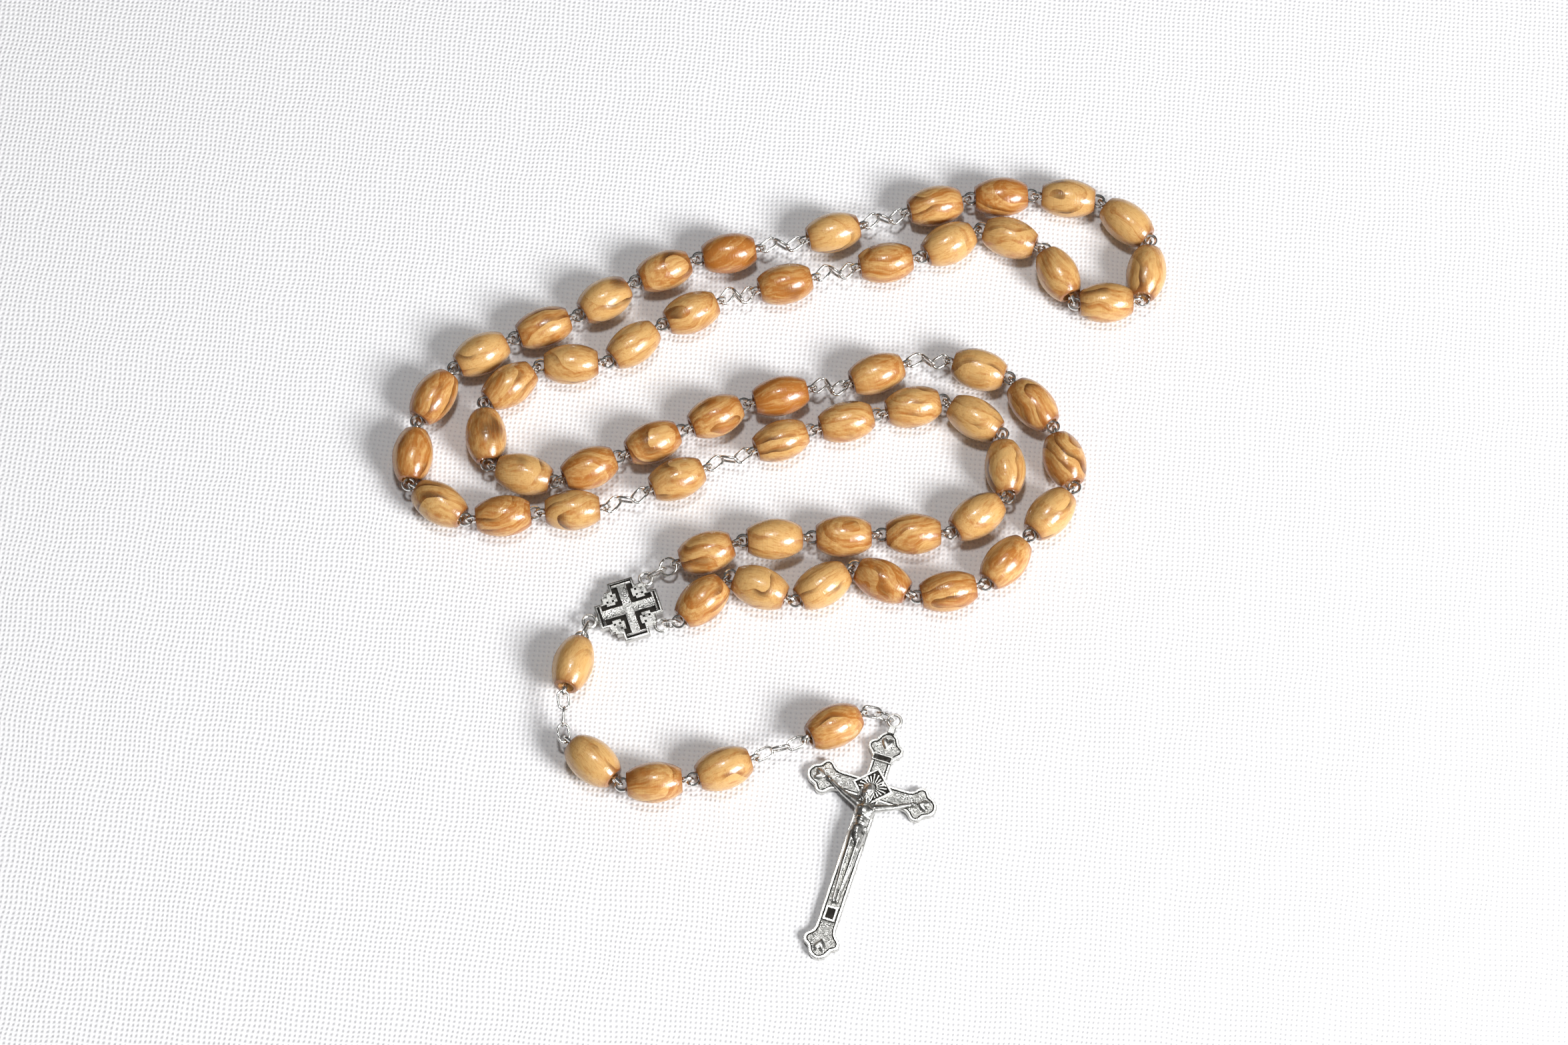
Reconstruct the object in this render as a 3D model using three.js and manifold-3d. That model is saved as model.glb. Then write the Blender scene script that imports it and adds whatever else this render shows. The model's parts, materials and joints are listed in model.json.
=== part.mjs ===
// A wooden-bead rosary laid out on a table, in millimetres, +Z up.
// Five decades of beads on wire eye pins, four single beads between them, a cross-shaped
// centre medal, and a pendant of five beads that ends in a crucifix.
// Each strand leads away from the medal. A piece's own frame has its origin at the pivot
// nearer the medal and its +X axis along the strand; "flat" wire loops lie in its XY plane
// and "upright" ones stand in its XZ plane. Flat and upright loops take turns, and a pivot
// stands on the end wire of the upright one, about which a strand turns aside.
import * as THREE from 'three';
import { mergeVertices } from 'three/addons/utils/BufferGeometryUtils.js';
import Module from 'manifold-3d';

const wasm = await Module();
wasm.setup();

// ---- driving dimensions ----

const BEAD_LENGTH = 9.6;
const BEAD_RADIUS = 3.7;
const RIM_RADIUS = 2.05; // the flat ring at each end of a bead
const BORE_RADIUS = 0.75;
const MOUTH_RADIUS = 1.75; // the bore opens out at each end, where the wire eye nests
const MOUTH_DEPTH = 1.4;
const BEAD_SIDES = 8;

const PIN_LENGTH = 12.9; // between the middles of the wire at the ends of both eyes
const WIRE_RADIUS = 0.28;
const EYE_RADIUS = 1.05; // to the middle of the wire
const SPACING = 0.9; // between the middles of two linked wires
const JOINT_ROD_LENGTH = 3.8; // stands for the two linked eyes between beads of one group
const JOINT_ROD_RADIUS = 0.6;

const LINK_LENGTH = 3.3; // to the middles of the wire at both ends
const LINK_WIDTH = 1.8;
const LINK_WIRE = 0.25;
const LINK_CONTACT = 0.4; // the same spacing inside a run of chain, where links are joined
const RING_DIAMETER = 3;
const MEDAL_LINK_LENGTH = 3.6;
const CRUCIFIX_RING_DIAMETER = 3.4;
const ZIGZAG_LEAN = THREE.MathUtils.degToRad(8); // how steeply a slack run of chain folds

const BAIL_RADIUS = 1.1; // the cast rings of the medal and the crucifix
const BAIL_WIRE = 0.26;
const CRUCIFIX_BAIL_HEIGHT = 1.3;

const MEDAL_CENTRE = new THREE.Vector3(-26.6, -9.7, 1);
const MEDAL_TURN = THREE.MathUtils.degToRad(18);
const MEDAL_THICKNESS = 1.3;
const MEDAL_BAIL_HEIGHT = 0.8; // above the medal's back
const MEDAL_RELIEF = 0.25;
const MEDAL_SPAN = 11.1;
const MEDAL_RING_ACROSS = 4.5; // from the centre to a corner ring, along each axis
const MEDAL_RING_BELOW = 7; // from the centre to the ring that carries the pendant

const CRUCIFIX_HEADING = THREE.MathUtils.degToRad(72); // the way its top points
const CRUCIFIX_THICKNESS = 1.7;

// The loop, from the medal's upper ring round to its lower ring.
const LOOP_ROUTE = [
  [-20.2, -2.2, 2.4], [-18.5, -1.5, 2.9], [-6.5, 2, 4.8], [5.5, 3, 3.7], [17.5, 3.5, 3.7], [29.5, 4, 3.7],
  [39, 11, 3.7], [38, 22.5, 3.7], [27.5, 29, 3.7], [15.5, 26, 3.7], [4, 23, 3.7],
  [-7.5, 18.5, 3.7], [-13.5, 16, 3.7], [-25.5, 11, 3.7], [-32, 8, 3.7], [-44.5, 7.5, 3.7],
  [-56, 6.5, 3.7], [-65.5, 14, 3.7], [-63.5, 26, 3.7], [-57, 36, 3.7], [-46.5, 41.4, 3.7],
  [-35, 46, 3.7], [-25.5, 52.5, 3.7], [-14, 57, 3.7], [-2.5, 59, 3.7], [4.5, 60.5, 3.7],
  [16.5, 64, 3.7], [23.5, 66.5, 3.7], [36, 69, 3.7], [47, 69, 3.7], [59, 67, 3.7],
  [66, 57.5, 3.7], [61.5, 46.5, 3.7], [50, 48.5, 3.7], [45.5, 59.5, 3.7], [34, 62.5, 3.7],
  [23.5, 56.5, 3.7], [10.5, 54.5, 3.7], [4.5, 52.5, 3.7], [-8, 49.5, 3.7], [-12.5, 47.5, 3.7],
  [-23.5, 42.5, 3.7], [-33, 35.2, 3.7], [-45, 35.2, 3.7], [-53, 27, 3.7], [-50.5, 15.5, 3.7],
  [-39, 13.5, 3.7], [-28, 18.5, 3.7], [-17, 23.5, 3.7], [-6, 28.5, 3.7], [6.5, 31.5, 3.7],
  [11, 32, 3.7], [23, 36.5, 3.7], [29.5, 36.5, 3.7], [40.5, 32.5, 3.7], [47.5, 22.5, 3.7],
  [50, 11, 3.7], [41.5, 2.5, 3.7], [33.5, -6.5, 3.7], [22, -8, 3.7], [11.5, -2.5, 3.7],
  [1.5, -9, 3.7], [-9.5, -4.5, 4.5], [-18, -12.5, 3.1],
];

// The pendant, from the medal's third ring to the crucifix's ring.
const PENDANT_ROUTE = [
  [-34.5, -15, 2.6], [-37.6, -27.6, 4.9], [-37.5, -29.5, 4.4], [-36.8, -34, 3.7], [-27.5, -42, 3.7],
  [-15.5, -41.2, 3.7], [-4.3, -37, 3.7], [2.4, -34.7, 4.3], [14, -28.8, 3.1],
  [15.4, -28.8, 2.8], [18.6, -29.8, 1.3],
];

// Length of each run of chain as it lies, between its end wires; two of them lie crumpled.
const CHAIN_LENGTHS = [9.2, 9, 8.8, 8.8, 8.2, 7.3, 7.3, 8.5];
const PENDANT_CHAIN_LENGTHS = [8.2, 8.2];

// How many beads share one solid, decade by decade, counted from the medal's upper ring.
const DECADES = [
  [2, 2, 2, 2, 2],
  [2, 2, 2, 2, 2],
  [2, 2, 3, 3],
  [2, 2, 2, 2, 2],
  [2, 2, 2, 2, 2],
];

// ---- materials ----

const olive = new THREE.MeshStandardMaterial({ color: 0xc98b4a, roughness: 0.3, metalness: 0 });
const silver = new THREE.MeshStandardMaterial({ color: 0xd9d9d6, roughness: 0.2, metalness: 1 });
const antique = new THREE.MeshStandardMaterial({ color: 0xa9a8a2, roughness: 0.4, metalness: 1 });

// ---- solids ----

// A closed three.js geometry as a manifold solid.
function solidOf(geometry) {
  const bare = geometry.clone();
  bare.deleteAttribute('normal');
  bare.deleteAttribute('uv');
  const merged = mergeVertices(bare, 1e-4);
  const triangles = [];
  const index = merged.index.array;
  for (let i = 0; i < index.length; i += 3) {
    const [a, b, c] = [index[i], index[i + 1], index[i + 2]];
    if (a !== b && b !== c && c !== a) triangles.push(a, b, c);
  }
  const mesh = new wasm.Mesh({
    numProp: 3,
    vertProperties: new Float32Array(merged.attributes.position.array),
    triVerts: new Uint32Array(triangles),
  });
  return new wasm.Manifold(mesh);
}

// A manifold solid as a three.js geometry.
function geometryOf(solid) {
  const mesh = solid.getMesh();
  const geometry = new THREE.BufferGeometry();
  geometry.setAttribute('position', new THREE.BufferAttribute(mesh.vertProperties, 3));
  geometry.setIndex(new THREE.BufferAttribute(mesh.triVerts, 1));
  geometry.computeVertexNormals();
  return geometry;
}

function joined(geometries) {
  const [first, ...rest] = geometries.map(solidOf);
  return geometryOf(rest.reduce((whole, solid) => whole.add(solid), first));
}

// Corners of a loop's outline: straight sides and round ends, each end four corners.
function loopCorners(halfLength, halfWidth) {
  const straight = halfLength - halfWidth;
  const radius = halfWidth / Math.cos(Math.PI / 8);
  const corners = [];
  for (let i = 0; i < 8; i++) {
    const angle = ((i + 0.5) * Math.PI) / 4;
    const shift = Math.sign(Math.cos(angle)) * straight;
    const [x, y] = [shift + radius * Math.cos(angle), radius * Math.sin(angle)];
    corners.push(new THREE.Vector2(x, y));
  }
  return corners;
}

// A closed loop of wire, centred on the origin, its length along X.
function wireLoop(length, width, wire, upright) {
  const shape = new THREE.Shape(loopCorners(length / 2 + wire, width / 2 + wire));
  const inside = loopCorners(length / 2 - wire, width / 2 - wire);
  shape.holes.push(new THREE.Path(inside.reverse()));
  const loop = new THREE.ExtrudeGeometry(shape, { depth: 2 * wire, bevelEnabled: false });
  loop.translate(0, 0, -wire);
  if (upright) loop.rotateX(Math.PI / 2);
  return loop;
}

function eye(centreX, upright) {
  return wireLoop(2 * EYE_RADIUS, 2 * EYE_RADIUS, WIRE_RADIUS, upright).translate(centreX, 0, 0);
}

// How far a loop's end wire passes the pivot.
function reach(upright) {
  return upright ? 0 : SPACING;
}

function nearEyeCentre(nearUpright) {
  return EYE_RADIUS - reach(nearUpright);
}

function farEyeCentre(length, farUpright) {
  return length + reach(farUpright) - EYE_RADIUS;
}

// Radius of the bead's outside at a distance along its axis from its middle.
function beadRadius(along) {
  const squash = 1 - (RIM_RADIUS / BEAD_RADIUS) ** 2;
  return BEAD_RADIUS * Math.sqrt(1 - squash * (along / (BEAD_LENGTH / 2)) ** 2);
}

function beadOutline() {
  const stations = [-1, -0.56, 0, 0.56, 1];
  return stations.map((s) => {
    const along = (s * BEAD_LENGTH) / 2;
    return new THREE.Vector2(beadRadius(along), along);
  });
}

// A bead along X with its middle at centreX.
function solidBead(centreX) {
  const half = BEAD_LENGTH / 2;
  const ends = [new THREE.Vector2(0, -half), new THREE.Vector2(0, half)];
  const profile = [ends[0], ...beadOutline(), ends[1]];
  const bead = new THREE.LatheGeometry(profile, BEAD_SIDES);
  return bead.rotateZ(-Math.PI / 2).translate(centreX, 0, 0);
}

function boredBead(centreX) {
  const half = BEAD_LENGTH / 2;
  const seat = half - MOUTH_DEPTH;
  const bore = [
    new THREE.Vector2(MOUTH_RADIUS, half),
    new THREE.Vector2(MOUTH_RADIUS, seat),
    new THREE.Vector2(BORE_RADIUS, seat),
    new THREE.Vector2(BORE_RADIUS, -seat),
    new THREE.Vector2(MOUTH_RADIUS, -seat),
    new THREE.Vector2(MOUTH_RADIUS, -half),
  ];
  const outline = beadOutline();
  const profile = [...outline, ...bore, outline[0]];
  const bead = new THREE.LatheGeometry(profile, BEAD_SIDES);
  return bead.rotateZ(-Math.PI / 2).translate(centreX, 0, 0);
}

// ---- places along a route ----

// The frame of a stretch of strand: X along it, Y level, at a point.
function strandFrame(point, along) {
  const x = along.clone().normalize();
  const y = new THREE.Vector3(0, 0, 1).cross(x).normalize();
  const z = new THREE.Vector3().crossVectors(x, y);
  return new THREE.Matrix4().makeBasis(x, y, z).setPosition(point);
}

function between(from, to) {
  return strandFrame(from, new THREE.Vector3().subVectors(to, from));
}

function sampledRoute(route) {
  const STEPS_PER_POINT = 16;
  const points = route.map(([x, y, z]) => new THREE.Vector3(x, y, z));
  const curve = new THREE.CatmullRomCurve3(points, false, 'catmullrom', 0.5);
  const samples = [];
  const last = STEPS_PER_POINT * (points.length - 1);
  for (let i = 0; i <= last; i++) samples.push(curve.getPoint(i / last));
  const before = samples[last - 1];
  const overrun = new THREE.Vector3().subVectors(samples[last], before).setLength(40);
  samples.push(overrun.add(samples[last]));
  return samples;
}

// Pivots along the samples, each at its straight-line span from the one before it,
// and how much of the route is left after the last.
function walk(samples, spans) {
  const pivots = [samples[0].clone()];
  let segment = 0;
  for (const span of spans) {
    const from = pivots[pivots.length - 1];
    while (samples[segment + 1].distanceTo(from) < span) segment += 1;
    const a = segment === 0 || samples[segment].distanceTo(from) < span ? samples[segment] : from;
    let low = 0;
    let high = 1;
    for (let i = 0; i < 50; i++) {
      const middle = (low + high) / 2;
      const point = new THREE.Vector3().lerpVectors(a, samples[segment + 1], middle);
      if (point.distanceTo(from) < span) low = middle;
      else high = middle;
    }
    pivots.push(new THREE.Vector3().lerpVectors(a, samples[segment + 1], low));
  }
  const end = samples[samples.length - 2];
  const gap = new THREE.Vector3().subVectors(end, pivots[pivots.length - 1]);
  const heading = new THREE.Vector3().subVectors(samples[samples.length - 1], end);
  return { pivots, left: gap.length() * Math.sign(gap.dot(heading)) };
}

// ---- pieces ----
// Each maker takes a piece's pivots and which of its end loops are upright, and returns its
// geometry in its own frame, where that frame stands, and the frame of its far end.

// Beads on their eye pins over pivots.length - 1 beads. Where two of them meet inside the
// group, one stout rod stands for the two linked eyes and joins the beads.
function beadGroup(pivots, ends) {
  const place = between(pivots[0], pivots[1]);
  const back = place.clone().invert();
  const count = pivots.length - 1;
  const parts = [];
  const add = (piece, frame) => {
    parts.push(piece.applyMatrix4(new THREE.Matrix4().multiplyMatrices(back, frame)));
  };
  for (let i = 0; i < count; i++) {
    const frame = between(pivots[i], pivots[i + 1]);
    const length = pivots[i].distanceTo(pivots[i + 1]);
    const nearEye = nearEyeCentre(i === 0 && ends.nearUpright);
    const farEye = farEyeCentre(length, i < count - 1 || ends.farUpright);
    add(solidBead((nearEye + farEye) / 2), frame);
    if (i === 0) add(eye(nearEye, ends.nearUpright), frame);
    else {
      const rod = new THREE.CylinderGeometry(JOINT_ROD_RADIUS, JOINT_ROD_RADIUS, JOINT_ROD_LENGTH, 6);
      const joint = between(pivots[i - 1], pivots[i + 1]).setPosition(pivots[i]);
      add(rod.rotateZ(Math.PI / 2).translate(-SPACING / 2, 0, 0), joint);
    }
    if (i === count - 1 && !ends.open) add(eye(farEye, ends.farUpright), frame);
  }
  const far = between(pivots[count - 1], pivots[count]).setPosition(pivots[count]);
  return { geometry: joined(parts), place, far };
}

// One eye pin: a straight wire with an eye bent at each end.
function eyePin([from, to], ends) {
  const place = between(from, to);
  const nearEye = nearEyeCentre(ends.nearUpright);
  const farEye = farEyeCentre(from.distanceTo(to), ends.farUpright);
  const wireLength = farEye - nearEye - 2 * EYE_RADIUS + WIRE_RADIUS;
  const wire = new THREE.CylinderGeometry(WIRE_RADIUS, WIRE_RADIUS, wireLength, 6);
  wire.rotateZ(Math.PI / 2).translate((nearEye + farEye) / 2, 0, 0);
  const eyes = [eye(nearEye, ends.nearUpright), eye(farEye, ends.farUpright)];
  return { geometry: joined([wire, ...eyes]), place, far: place.clone().setPosition(to) };
}

// The bead that turns on an eye pin.
function looseBead([from, to], ends) {
  const farEye = farEyeCentre(from.distanceTo(to), ends.farUpright);
  const middle = (nearEyeCentre(ends.nearUpright) + farEye) / 2;
  return { geometry: boredBead(middle), place: between(from, to), middle };
}

// A single link or jump ring.
function singleLoop([from, to], ends, length, width) {
  const place = between(from, to);
  const geometry = wireLoop(length, width, LINK_WIRE, ends.nearUpright);
  geometry.translate(length / 2 - reach(ends.nearUpright), 0, 0);
  return { geometry, place, far: place.clone().setPosition(to) };
}

// The angles at which the outer and the middle link of a slack run of three turn aside.
function zigzag(span, outer, middle) {
  let low = 0;
  let high = Math.asin(middle / (2 * outer));
  let turns = null;
  for (let i = 0; i < 50; i++) {
    const outerTurn = (low + high) / 2;
    const middleTurn = Math.asin((2 * outer * Math.sin(outerTurn)) / middle);
    turns = [outerTurn, -middleTurn, outerTurn];
    const reached = 2 * outer * Math.cos(outerTurn) + middle * Math.cos(middleTurn);
    if (reached > span) low = outerTurn;
    else high = outerTurn;
  }
  return turns;
}

// Three links, joined, that fold a little to fill a span shorter than they are.
function chainRun([from, to], ends) {
  const outer = LINK_LENGTH - reach(ends.nearUpright) - LINK_CONTACT / 2;
  const middle = LINK_LENGTH - LINK_CONTACT;
  const turns = zigzag(from.distanceTo(to), outer, middle);
  const run = between(from, to);
  const axis = new THREE.Vector3(0, -Math.sin(ZIGZAG_LEAN), Math.cos(ZIGZAG_LEAN));
  const start = new THREE.Vector3(0, 0, 0);
  const parts = [];
  const frames = [];
  for (let i = 0; i < 3; i++) {
    const along = new THREE.Vector3(1, 0, 0).applyAxisAngle(axis, turns[i]);
    const end = start.clone().addScaledVector(along, i === 1 ? middle : outer);
    const [a, b] = [start, end].map((point) => point.clone().applyMatrix4(run));
    const frame = between(a, b);
    const passes = i === 0 ? reach(ends.nearUpright) : LINK_CONTACT / 2;
    const upright = i === 1 ? !ends.nearUpright : ends.nearUpright;
    const loop = wireLoop(LINK_LENGTH, LINK_WIDTH, LINK_WIRE, upright);
    parts.push(loop.translate(LINK_LENGTH / 2 - passes, 0, 0).applyMatrix4(frame));
    frames.push(frame.setPosition(b));
    start.copy(end);
  }
  const place = frames[0].clone().setPosition(from);
  const geometry = joined(parts).applyMatrix4(place.clone().invert());
  return { geometry, place, far: frames[2] };
}

// ---- the two castings ----

function block(width, depth, height, x, y, z) {
  return new THREE.BoxGeometry(width, depth, height).translate(x, y, z + height / 2);
}

// A cast ring that lies flat, with a hole for a link.
function bail(x, y, z) {
  const ring = wireLoop(2 * BAIL_RADIUS, 2 * BAIL_RADIUS, BAIL_WIRE, false);
  return ring.translate(x, y, z);
}

// A flat plate with this outline, its back at z.
function plate(outline, thickness, z) {
  const shape = new THREE.Shape(outline.map(([x, y]) => new THREE.Vector2(x, y)));
  const solid = new THREE.ExtrudeGeometry(shape, { depth: thickness, bevelEnabled: false });
  return solid.translate(0, 0, z);
}

// A quarter of an outline, repeated round the origin.
function fourfold(quarter) {
  const outline = [];
  for (let turn = 0; turn < 4; turn++) {
    const [c, s] = [Math.cos((turn * Math.PI) / 2), Math.sin((turn * Math.PI) / 2)];
    outline.push(...quarter.map(([x, y]) => [c * x - s * y, s * x + c * y]));
  }
  return outline;
}

// A cross with bars across its ends: half span, half width, and the end bars' size.
function crossPotent(half, width, bar, barHalf) {
  return fourfold([
    [half, -barHalf], [half, barHalf], [half - bar, barHalf], [half - bar, width],
    [width, width], [width, half - bar], [barHalf, half - bar],
  ]);
}

function centreMedal() {
  const half = MEDAL_SPAN / 2;
  const raised = MEDAL_THICKNESS + MEDAL_RELIEF;
  const bailZ = MEDAL_BAIL_HEIGHT;
  const edge = fourfold([
    [half, -2.25], [half, 2.25], [4.1, 2.25], [4.1, 3.2], [3.2, 3.2], [3.2, 4.1], [2.25, 4.1],
  ]);
  const parts = [plate(edge, MEDAL_THICKNESS, 0)];
  parts.push(plate(crossPotent(half - 0.5, 0.85, 0.5, 1.8), raised - 0.3, 0.3));
  const smallCross = crossPotent(1.05, 0.25, 0.3, 0.6);
  for (const [x, y] of [[1, 1], [1, -1], [-1, 1], [-1, -1]]) {
    const crosslet = plate(smallCross, raised - 0.3, 0.3);
    parts.push(crosslet.translate(2.75 * x, 2.75 * y, 0));
  }
  const lug = 0.7;
  parts.push(bail(MEDAL_RING_ACROSS, MEDAL_RING_ACROSS, bailZ));
  parts.push(bail(MEDAL_RING_ACROSS, -MEDAL_RING_ACROSS, bailZ));
  parts.push(bail(-MEDAL_RING_BELOW, 0, bailZ));
  parts.push(block(lug, lug, 0.5, -half - 0.1, 0, bailZ - 0.25));
  parts.push(block(lug, lug, 0.5, 3.5, 3.5, bailZ - 0.25));
  parts.push(block(lug, lug, 0.5, 3.5, -3.5, bailZ - 0.25));
  return joined(parts);
}

// A limb of the figure: a tapered rod between two points.
function limb(from, to, fromRadius, toRadius) {
  const [a, b] = [new THREE.Vector3(...from), new THREE.Vector3(...to)];
  const rod = new THREE.CylinderGeometry(toRadius, fromRadius, a.distanceTo(b), 6);
  const turn = new THREE.Quaternion();
  turn.setFromUnitVectors(new THREE.Vector3(0, 1, 0), b.clone().sub(a).normalize());
  return rod.applyQuaternion(turn).translate(...a.add(b).multiplyScalar(0.5));
}

function ball(radius, stretch, x, y, z) {
  const round = new THREE.SphereGeometry(radius, 8, 6).rotateX(Math.PI / 2);
  return round.scale(1, stretch, 1).translate(x, y, z);
}

// One lobed end of the cross, from its right side over the tip to its left.
const LOBE = [
  [1.75, -3.6], [2.9, -2.2], [3, -1.1], [2, -0.2], [1.4, 0.9], [0, 1.5],
  [-1.4, 0.9], [-2, -0.2], [-3, -1.1], [-2.9, -2.2], [-1.75, -3.6],
];

// The crucifix in its own frame: ring at the origin, foot towards -Y, back at z = 0.
function crucifix() {
  const t = CRUCIFIX_THICKNESS;
  const arms = -12.9; // where the arms cross
  const w = LOBE[0][0]; // half the width of every arm
  const ends = [[0, 9.5, 0], [-9.9, 0, 90], [0, -29.4, 180], [9.9, 0, 270]];
  const outline = ends.flatMap(([x, y, degrees]) => {
    const angle = THREE.MathUtils.degToRad(degrees);
    const [c, s] = [Math.round(Math.cos(angle)), Math.round(Math.sin(angle))];
    const lobe = LOBE.map(([a, b]) => [x + c * a - s * b, arms + y + s * a + c * b]);
    const innerCorner = [-w * (c + s), arms + w * (c - s)];
    return [...lobe, innerCorner];
  });
  const parts = [plate(outline, t, 0), bail(0, 0, CRUCIFIX_BAIL_HEIGHT)];
  parts.push(block(1.3, 1.4, 0.9, 0, -1.7, 0.7));
  const nimbus = block(5, 5, t + 0.05, 0, 0, 0.3).rotateZ(Math.PI / 4);
  parts.push(nimbus.translate(0, arms + 0.6, 0), block(3.2, 1.4, t + 0.1, 0, -6.9, 0.3));
  parts.push(ball(1.1, 1.35, -0.3, -13.6, 2.6));
  parts.push(limb([0, -16.1, 1.9], [0, -23.2, 1.8], 1.7, 1.2));
  parts.push(limb([-0.5, -22.8, 1.9], [-0.35, -33, 1.7], 1.05, 0.55));
  parts.push(limb([0.5, -22.8, 1.9], [0.35, -33, 1.7], 1.05, 0.55));
  parts.push(limb([-0.8, -16.4, 2], [-7.3, -13.6, 1.6], 0.85, 0.5));
  parts.push(limb([0.8, -16.4, 2], [7.3, -13.4, 1.6], 0.85, 0.5));
  parts.push(block(2, 2.6, t + 0.2, 0, -35.8, 0.3));
  return joined(parts);
}

// ---- assembly ----

const rosary = new THREE.Group();

function named(name, piece, material) {
  const mesh = new THREE.Mesh(piece.geometry, material);
  mesh.name = name;
  mesh.applyMatrix4(piece.place);
  return mesh;
}

// Hang a mesh on its parent by a pivot group whose Y axis is the hinge's axis.
function hang(parent, mesh, pivotFrame) {
  const pivot = new THREE.Group();
  pivot.name = `${mesh.name}_pivot`;
  pivot.applyMatrix4(pivotFrame);
  rosary.add(pivot);
  rosary.add(mesh);
  pivot.attach(mesh);
  parent.attach(pivot);
}

// A frame moved along its own X axis.
function alongX(frame, distance) {
  return frame.clone().multiply(new THREE.Matrix4().makeTranslation(distance, 0, 0));
}

// A bead turns about its pin's wire, so its pivot's Y axis lies along the strand.
function thread(pin, name, piece) {
  const quarter = new THREE.Matrix4().makeRotationZ(-Math.PI / 2);
  hang(pin, named(name, piece, olive), alongX(piece.place, piece.middle).multiply(quarter));
}

// ---- what the strands are made of ----
// The rings of the medal lie flat, so every strand's first loop is upright.

function linkStretch(name, length, width) {
  const make = (taken, ends) => singleLoop(taken, ends, length, width);
  return { name, lengths: [length], material: silver, make, oneWay: true };
}

function chainStretch(name, length) {
  return { name, lengths: [length], material: silver, make: chainRun, oneWay: true, slack: true };
}

function pinStretch(bead) {
  return { name: `${bead}_pin`, bead, lengths: [PIN_LENGTH], material: silver, make: eyePin };
}

function groupStretch(decade, first, beads, open) {
  const name = `decade_${decade}_beads_${first}_${first + beads - 1}`;
  const lengths = Array(beads).fill(PIN_LENGTH);
  return { name, lengths, material: olive, make: beadGroup, open };
}

// The whole loop as one list, in order from the medal's upper ring.
function loopStretches() {
  const list = [linkStretch('medal_link', MEDAL_LINK_LENGTH, LINK_WIDTH)];
  list.push(linkStretch('medal_upper_jump_ring', RING_DIAMETER, RING_DIAMETER));
  DECADES.forEach((groups, d) => {
    let first = 1;
    for (const beads of groups) {
      list.push(groupStretch(d + 1, first, beads, d === 2 && first === 1));
      first += beads;
    }
    if (d < DECADES.length - 1) {
      list.push(chainStretch(`chain_${2 * d + 1}`, CHAIN_LENGTHS[2 * d]));
      list.push(pinStretch(`our_father_bead_${d + 1}`));
      list.push(chainStretch(`chain_${2 * d + 2}`, CHAIN_LENGTHS[2 * d + 1]));
    }
  });
  list.push(linkStretch('medal_lower_jump_ring', RING_DIAMETER, RING_DIAMETER));
  return list;
}

function pendantStretches() {
  return [
    linkStretch('pendant_link', LINK_LENGTH, LINK_WIDTH),
    pinStretch('pendant_bead_1'),
    chainStretch('pendant_chain_1', PENDANT_CHAIN_LENGTHS[0]),
    pinStretch('pendant_bead_2'),
    pinStretch('pendant_bead_3'),
    pinStretch('pendant_bead_4'),
    chainStretch('pendant_chain_2', PENDANT_CHAIN_LENGTHS[1]),
    pinStretch('pendant_bead_5'),
    linkStretch('crucifix_link', LINK_LENGTH, LINK_WIDTH),
    linkStretch('crucifix_jump_ring', CRUCIFIX_RING_DIAMETER, RING_DIAMETER),
  ];
}

// Settle which end loops of each stretch are upright, outwards from the medal, and how far
// apart its pivots are. A pin's far eye is turned upright; a link is the same at both ends.
function settle(stretches) {
  let farUpright = false;
  for (const stretch of stretches) {
    stretch.nearUpright = !farUpright;
    stretch.farUpright = stretch.oneWay ? stretch.nearUpright : !stretch.open;
    farUpright = stretch.farUpright;
    const last = stretch.lengths.length - 1;
    stretch.spans = stretch.lengths.map((length, i) => {
      const nearReach = reach(i === 0 && stretch.nearUpright);
      return length - nearReach - reach(i < last || stretch.farUpright);
    });
  }
  return stretches;
}

// The pivots of a strand, with every run of chain taking up an equal part of the slack, so
// that the strand ends where its route does.
function closedPivots(route, stretches) {
  const samples = sampledRoute(route);
  const chains = stretches.filter((stretch) => stretch.slack).length;
  let slack = 0;
  let result = null;
  for (let i = 0; i < 40; i++) {
    const spans = stretches.flatMap((stretch) => {
      return stretch.spans.map((span) => span + (stretch.slack ? slack : 0));
    });
    result = walk(samples, spans);
    slack += result.left / chains;
  }
  return result.pivots;
}

// Hang one strand on the medal. Each stretch takes its pivots from the list in turn, and
// hinges about the flat one of the two linked loops.
function strand(pivots, stretches) {
  let at = 0;
  let parent = medal;
  let far = between(pivots[0], pivots[1].clone().setZ(pivots[0].z));
  for (const stretch of stretches) {
    const taken = pivots.slice(at, at + stretch.spans.length + 1);
    const piece = stretch.make(taken, stretch);
    const mesh = named(stretch.name, piece, stretch.material);
    const hinge = stretch.nearUpright ? alongX(far, SPACING) : alongX(piece.place, -SPACING);
    hang(parent, mesh, hinge);
    if (stretch.bead) thread(mesh, stretch.bead, looseBead(taken, stretch));
    parent = mesh;
    far = piece.far;
    at += stretch.spans.length;
  }
  return { end: parent, far };
}

// ---- put together ----

const medalPlace = new THREE.Matrix4().makeRotationZ(MEDAL_TURN).setPosition(MEDAL_CENTRE);
const medal = named('centre_medal', { geometry: centreMedal(), place: medalPlace }, antique);
rosary.add(medal);

// The pivot in one of the medal's rings, for a strand that leaves towards a point.
function ringPivot(x, y, towards) {
  const centre = new THREE.Vector3(x, y, MEDAL_BAIL_HEIGHT).applyMatrix4(medalPlace);
  const heading = new THREE.Vector3(...towards).setZ(centre.z).sub(centre).normalize();
  return centre.addScaledVector(heading, BAIL_RADIUS - SPACING).toArray();
}

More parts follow.
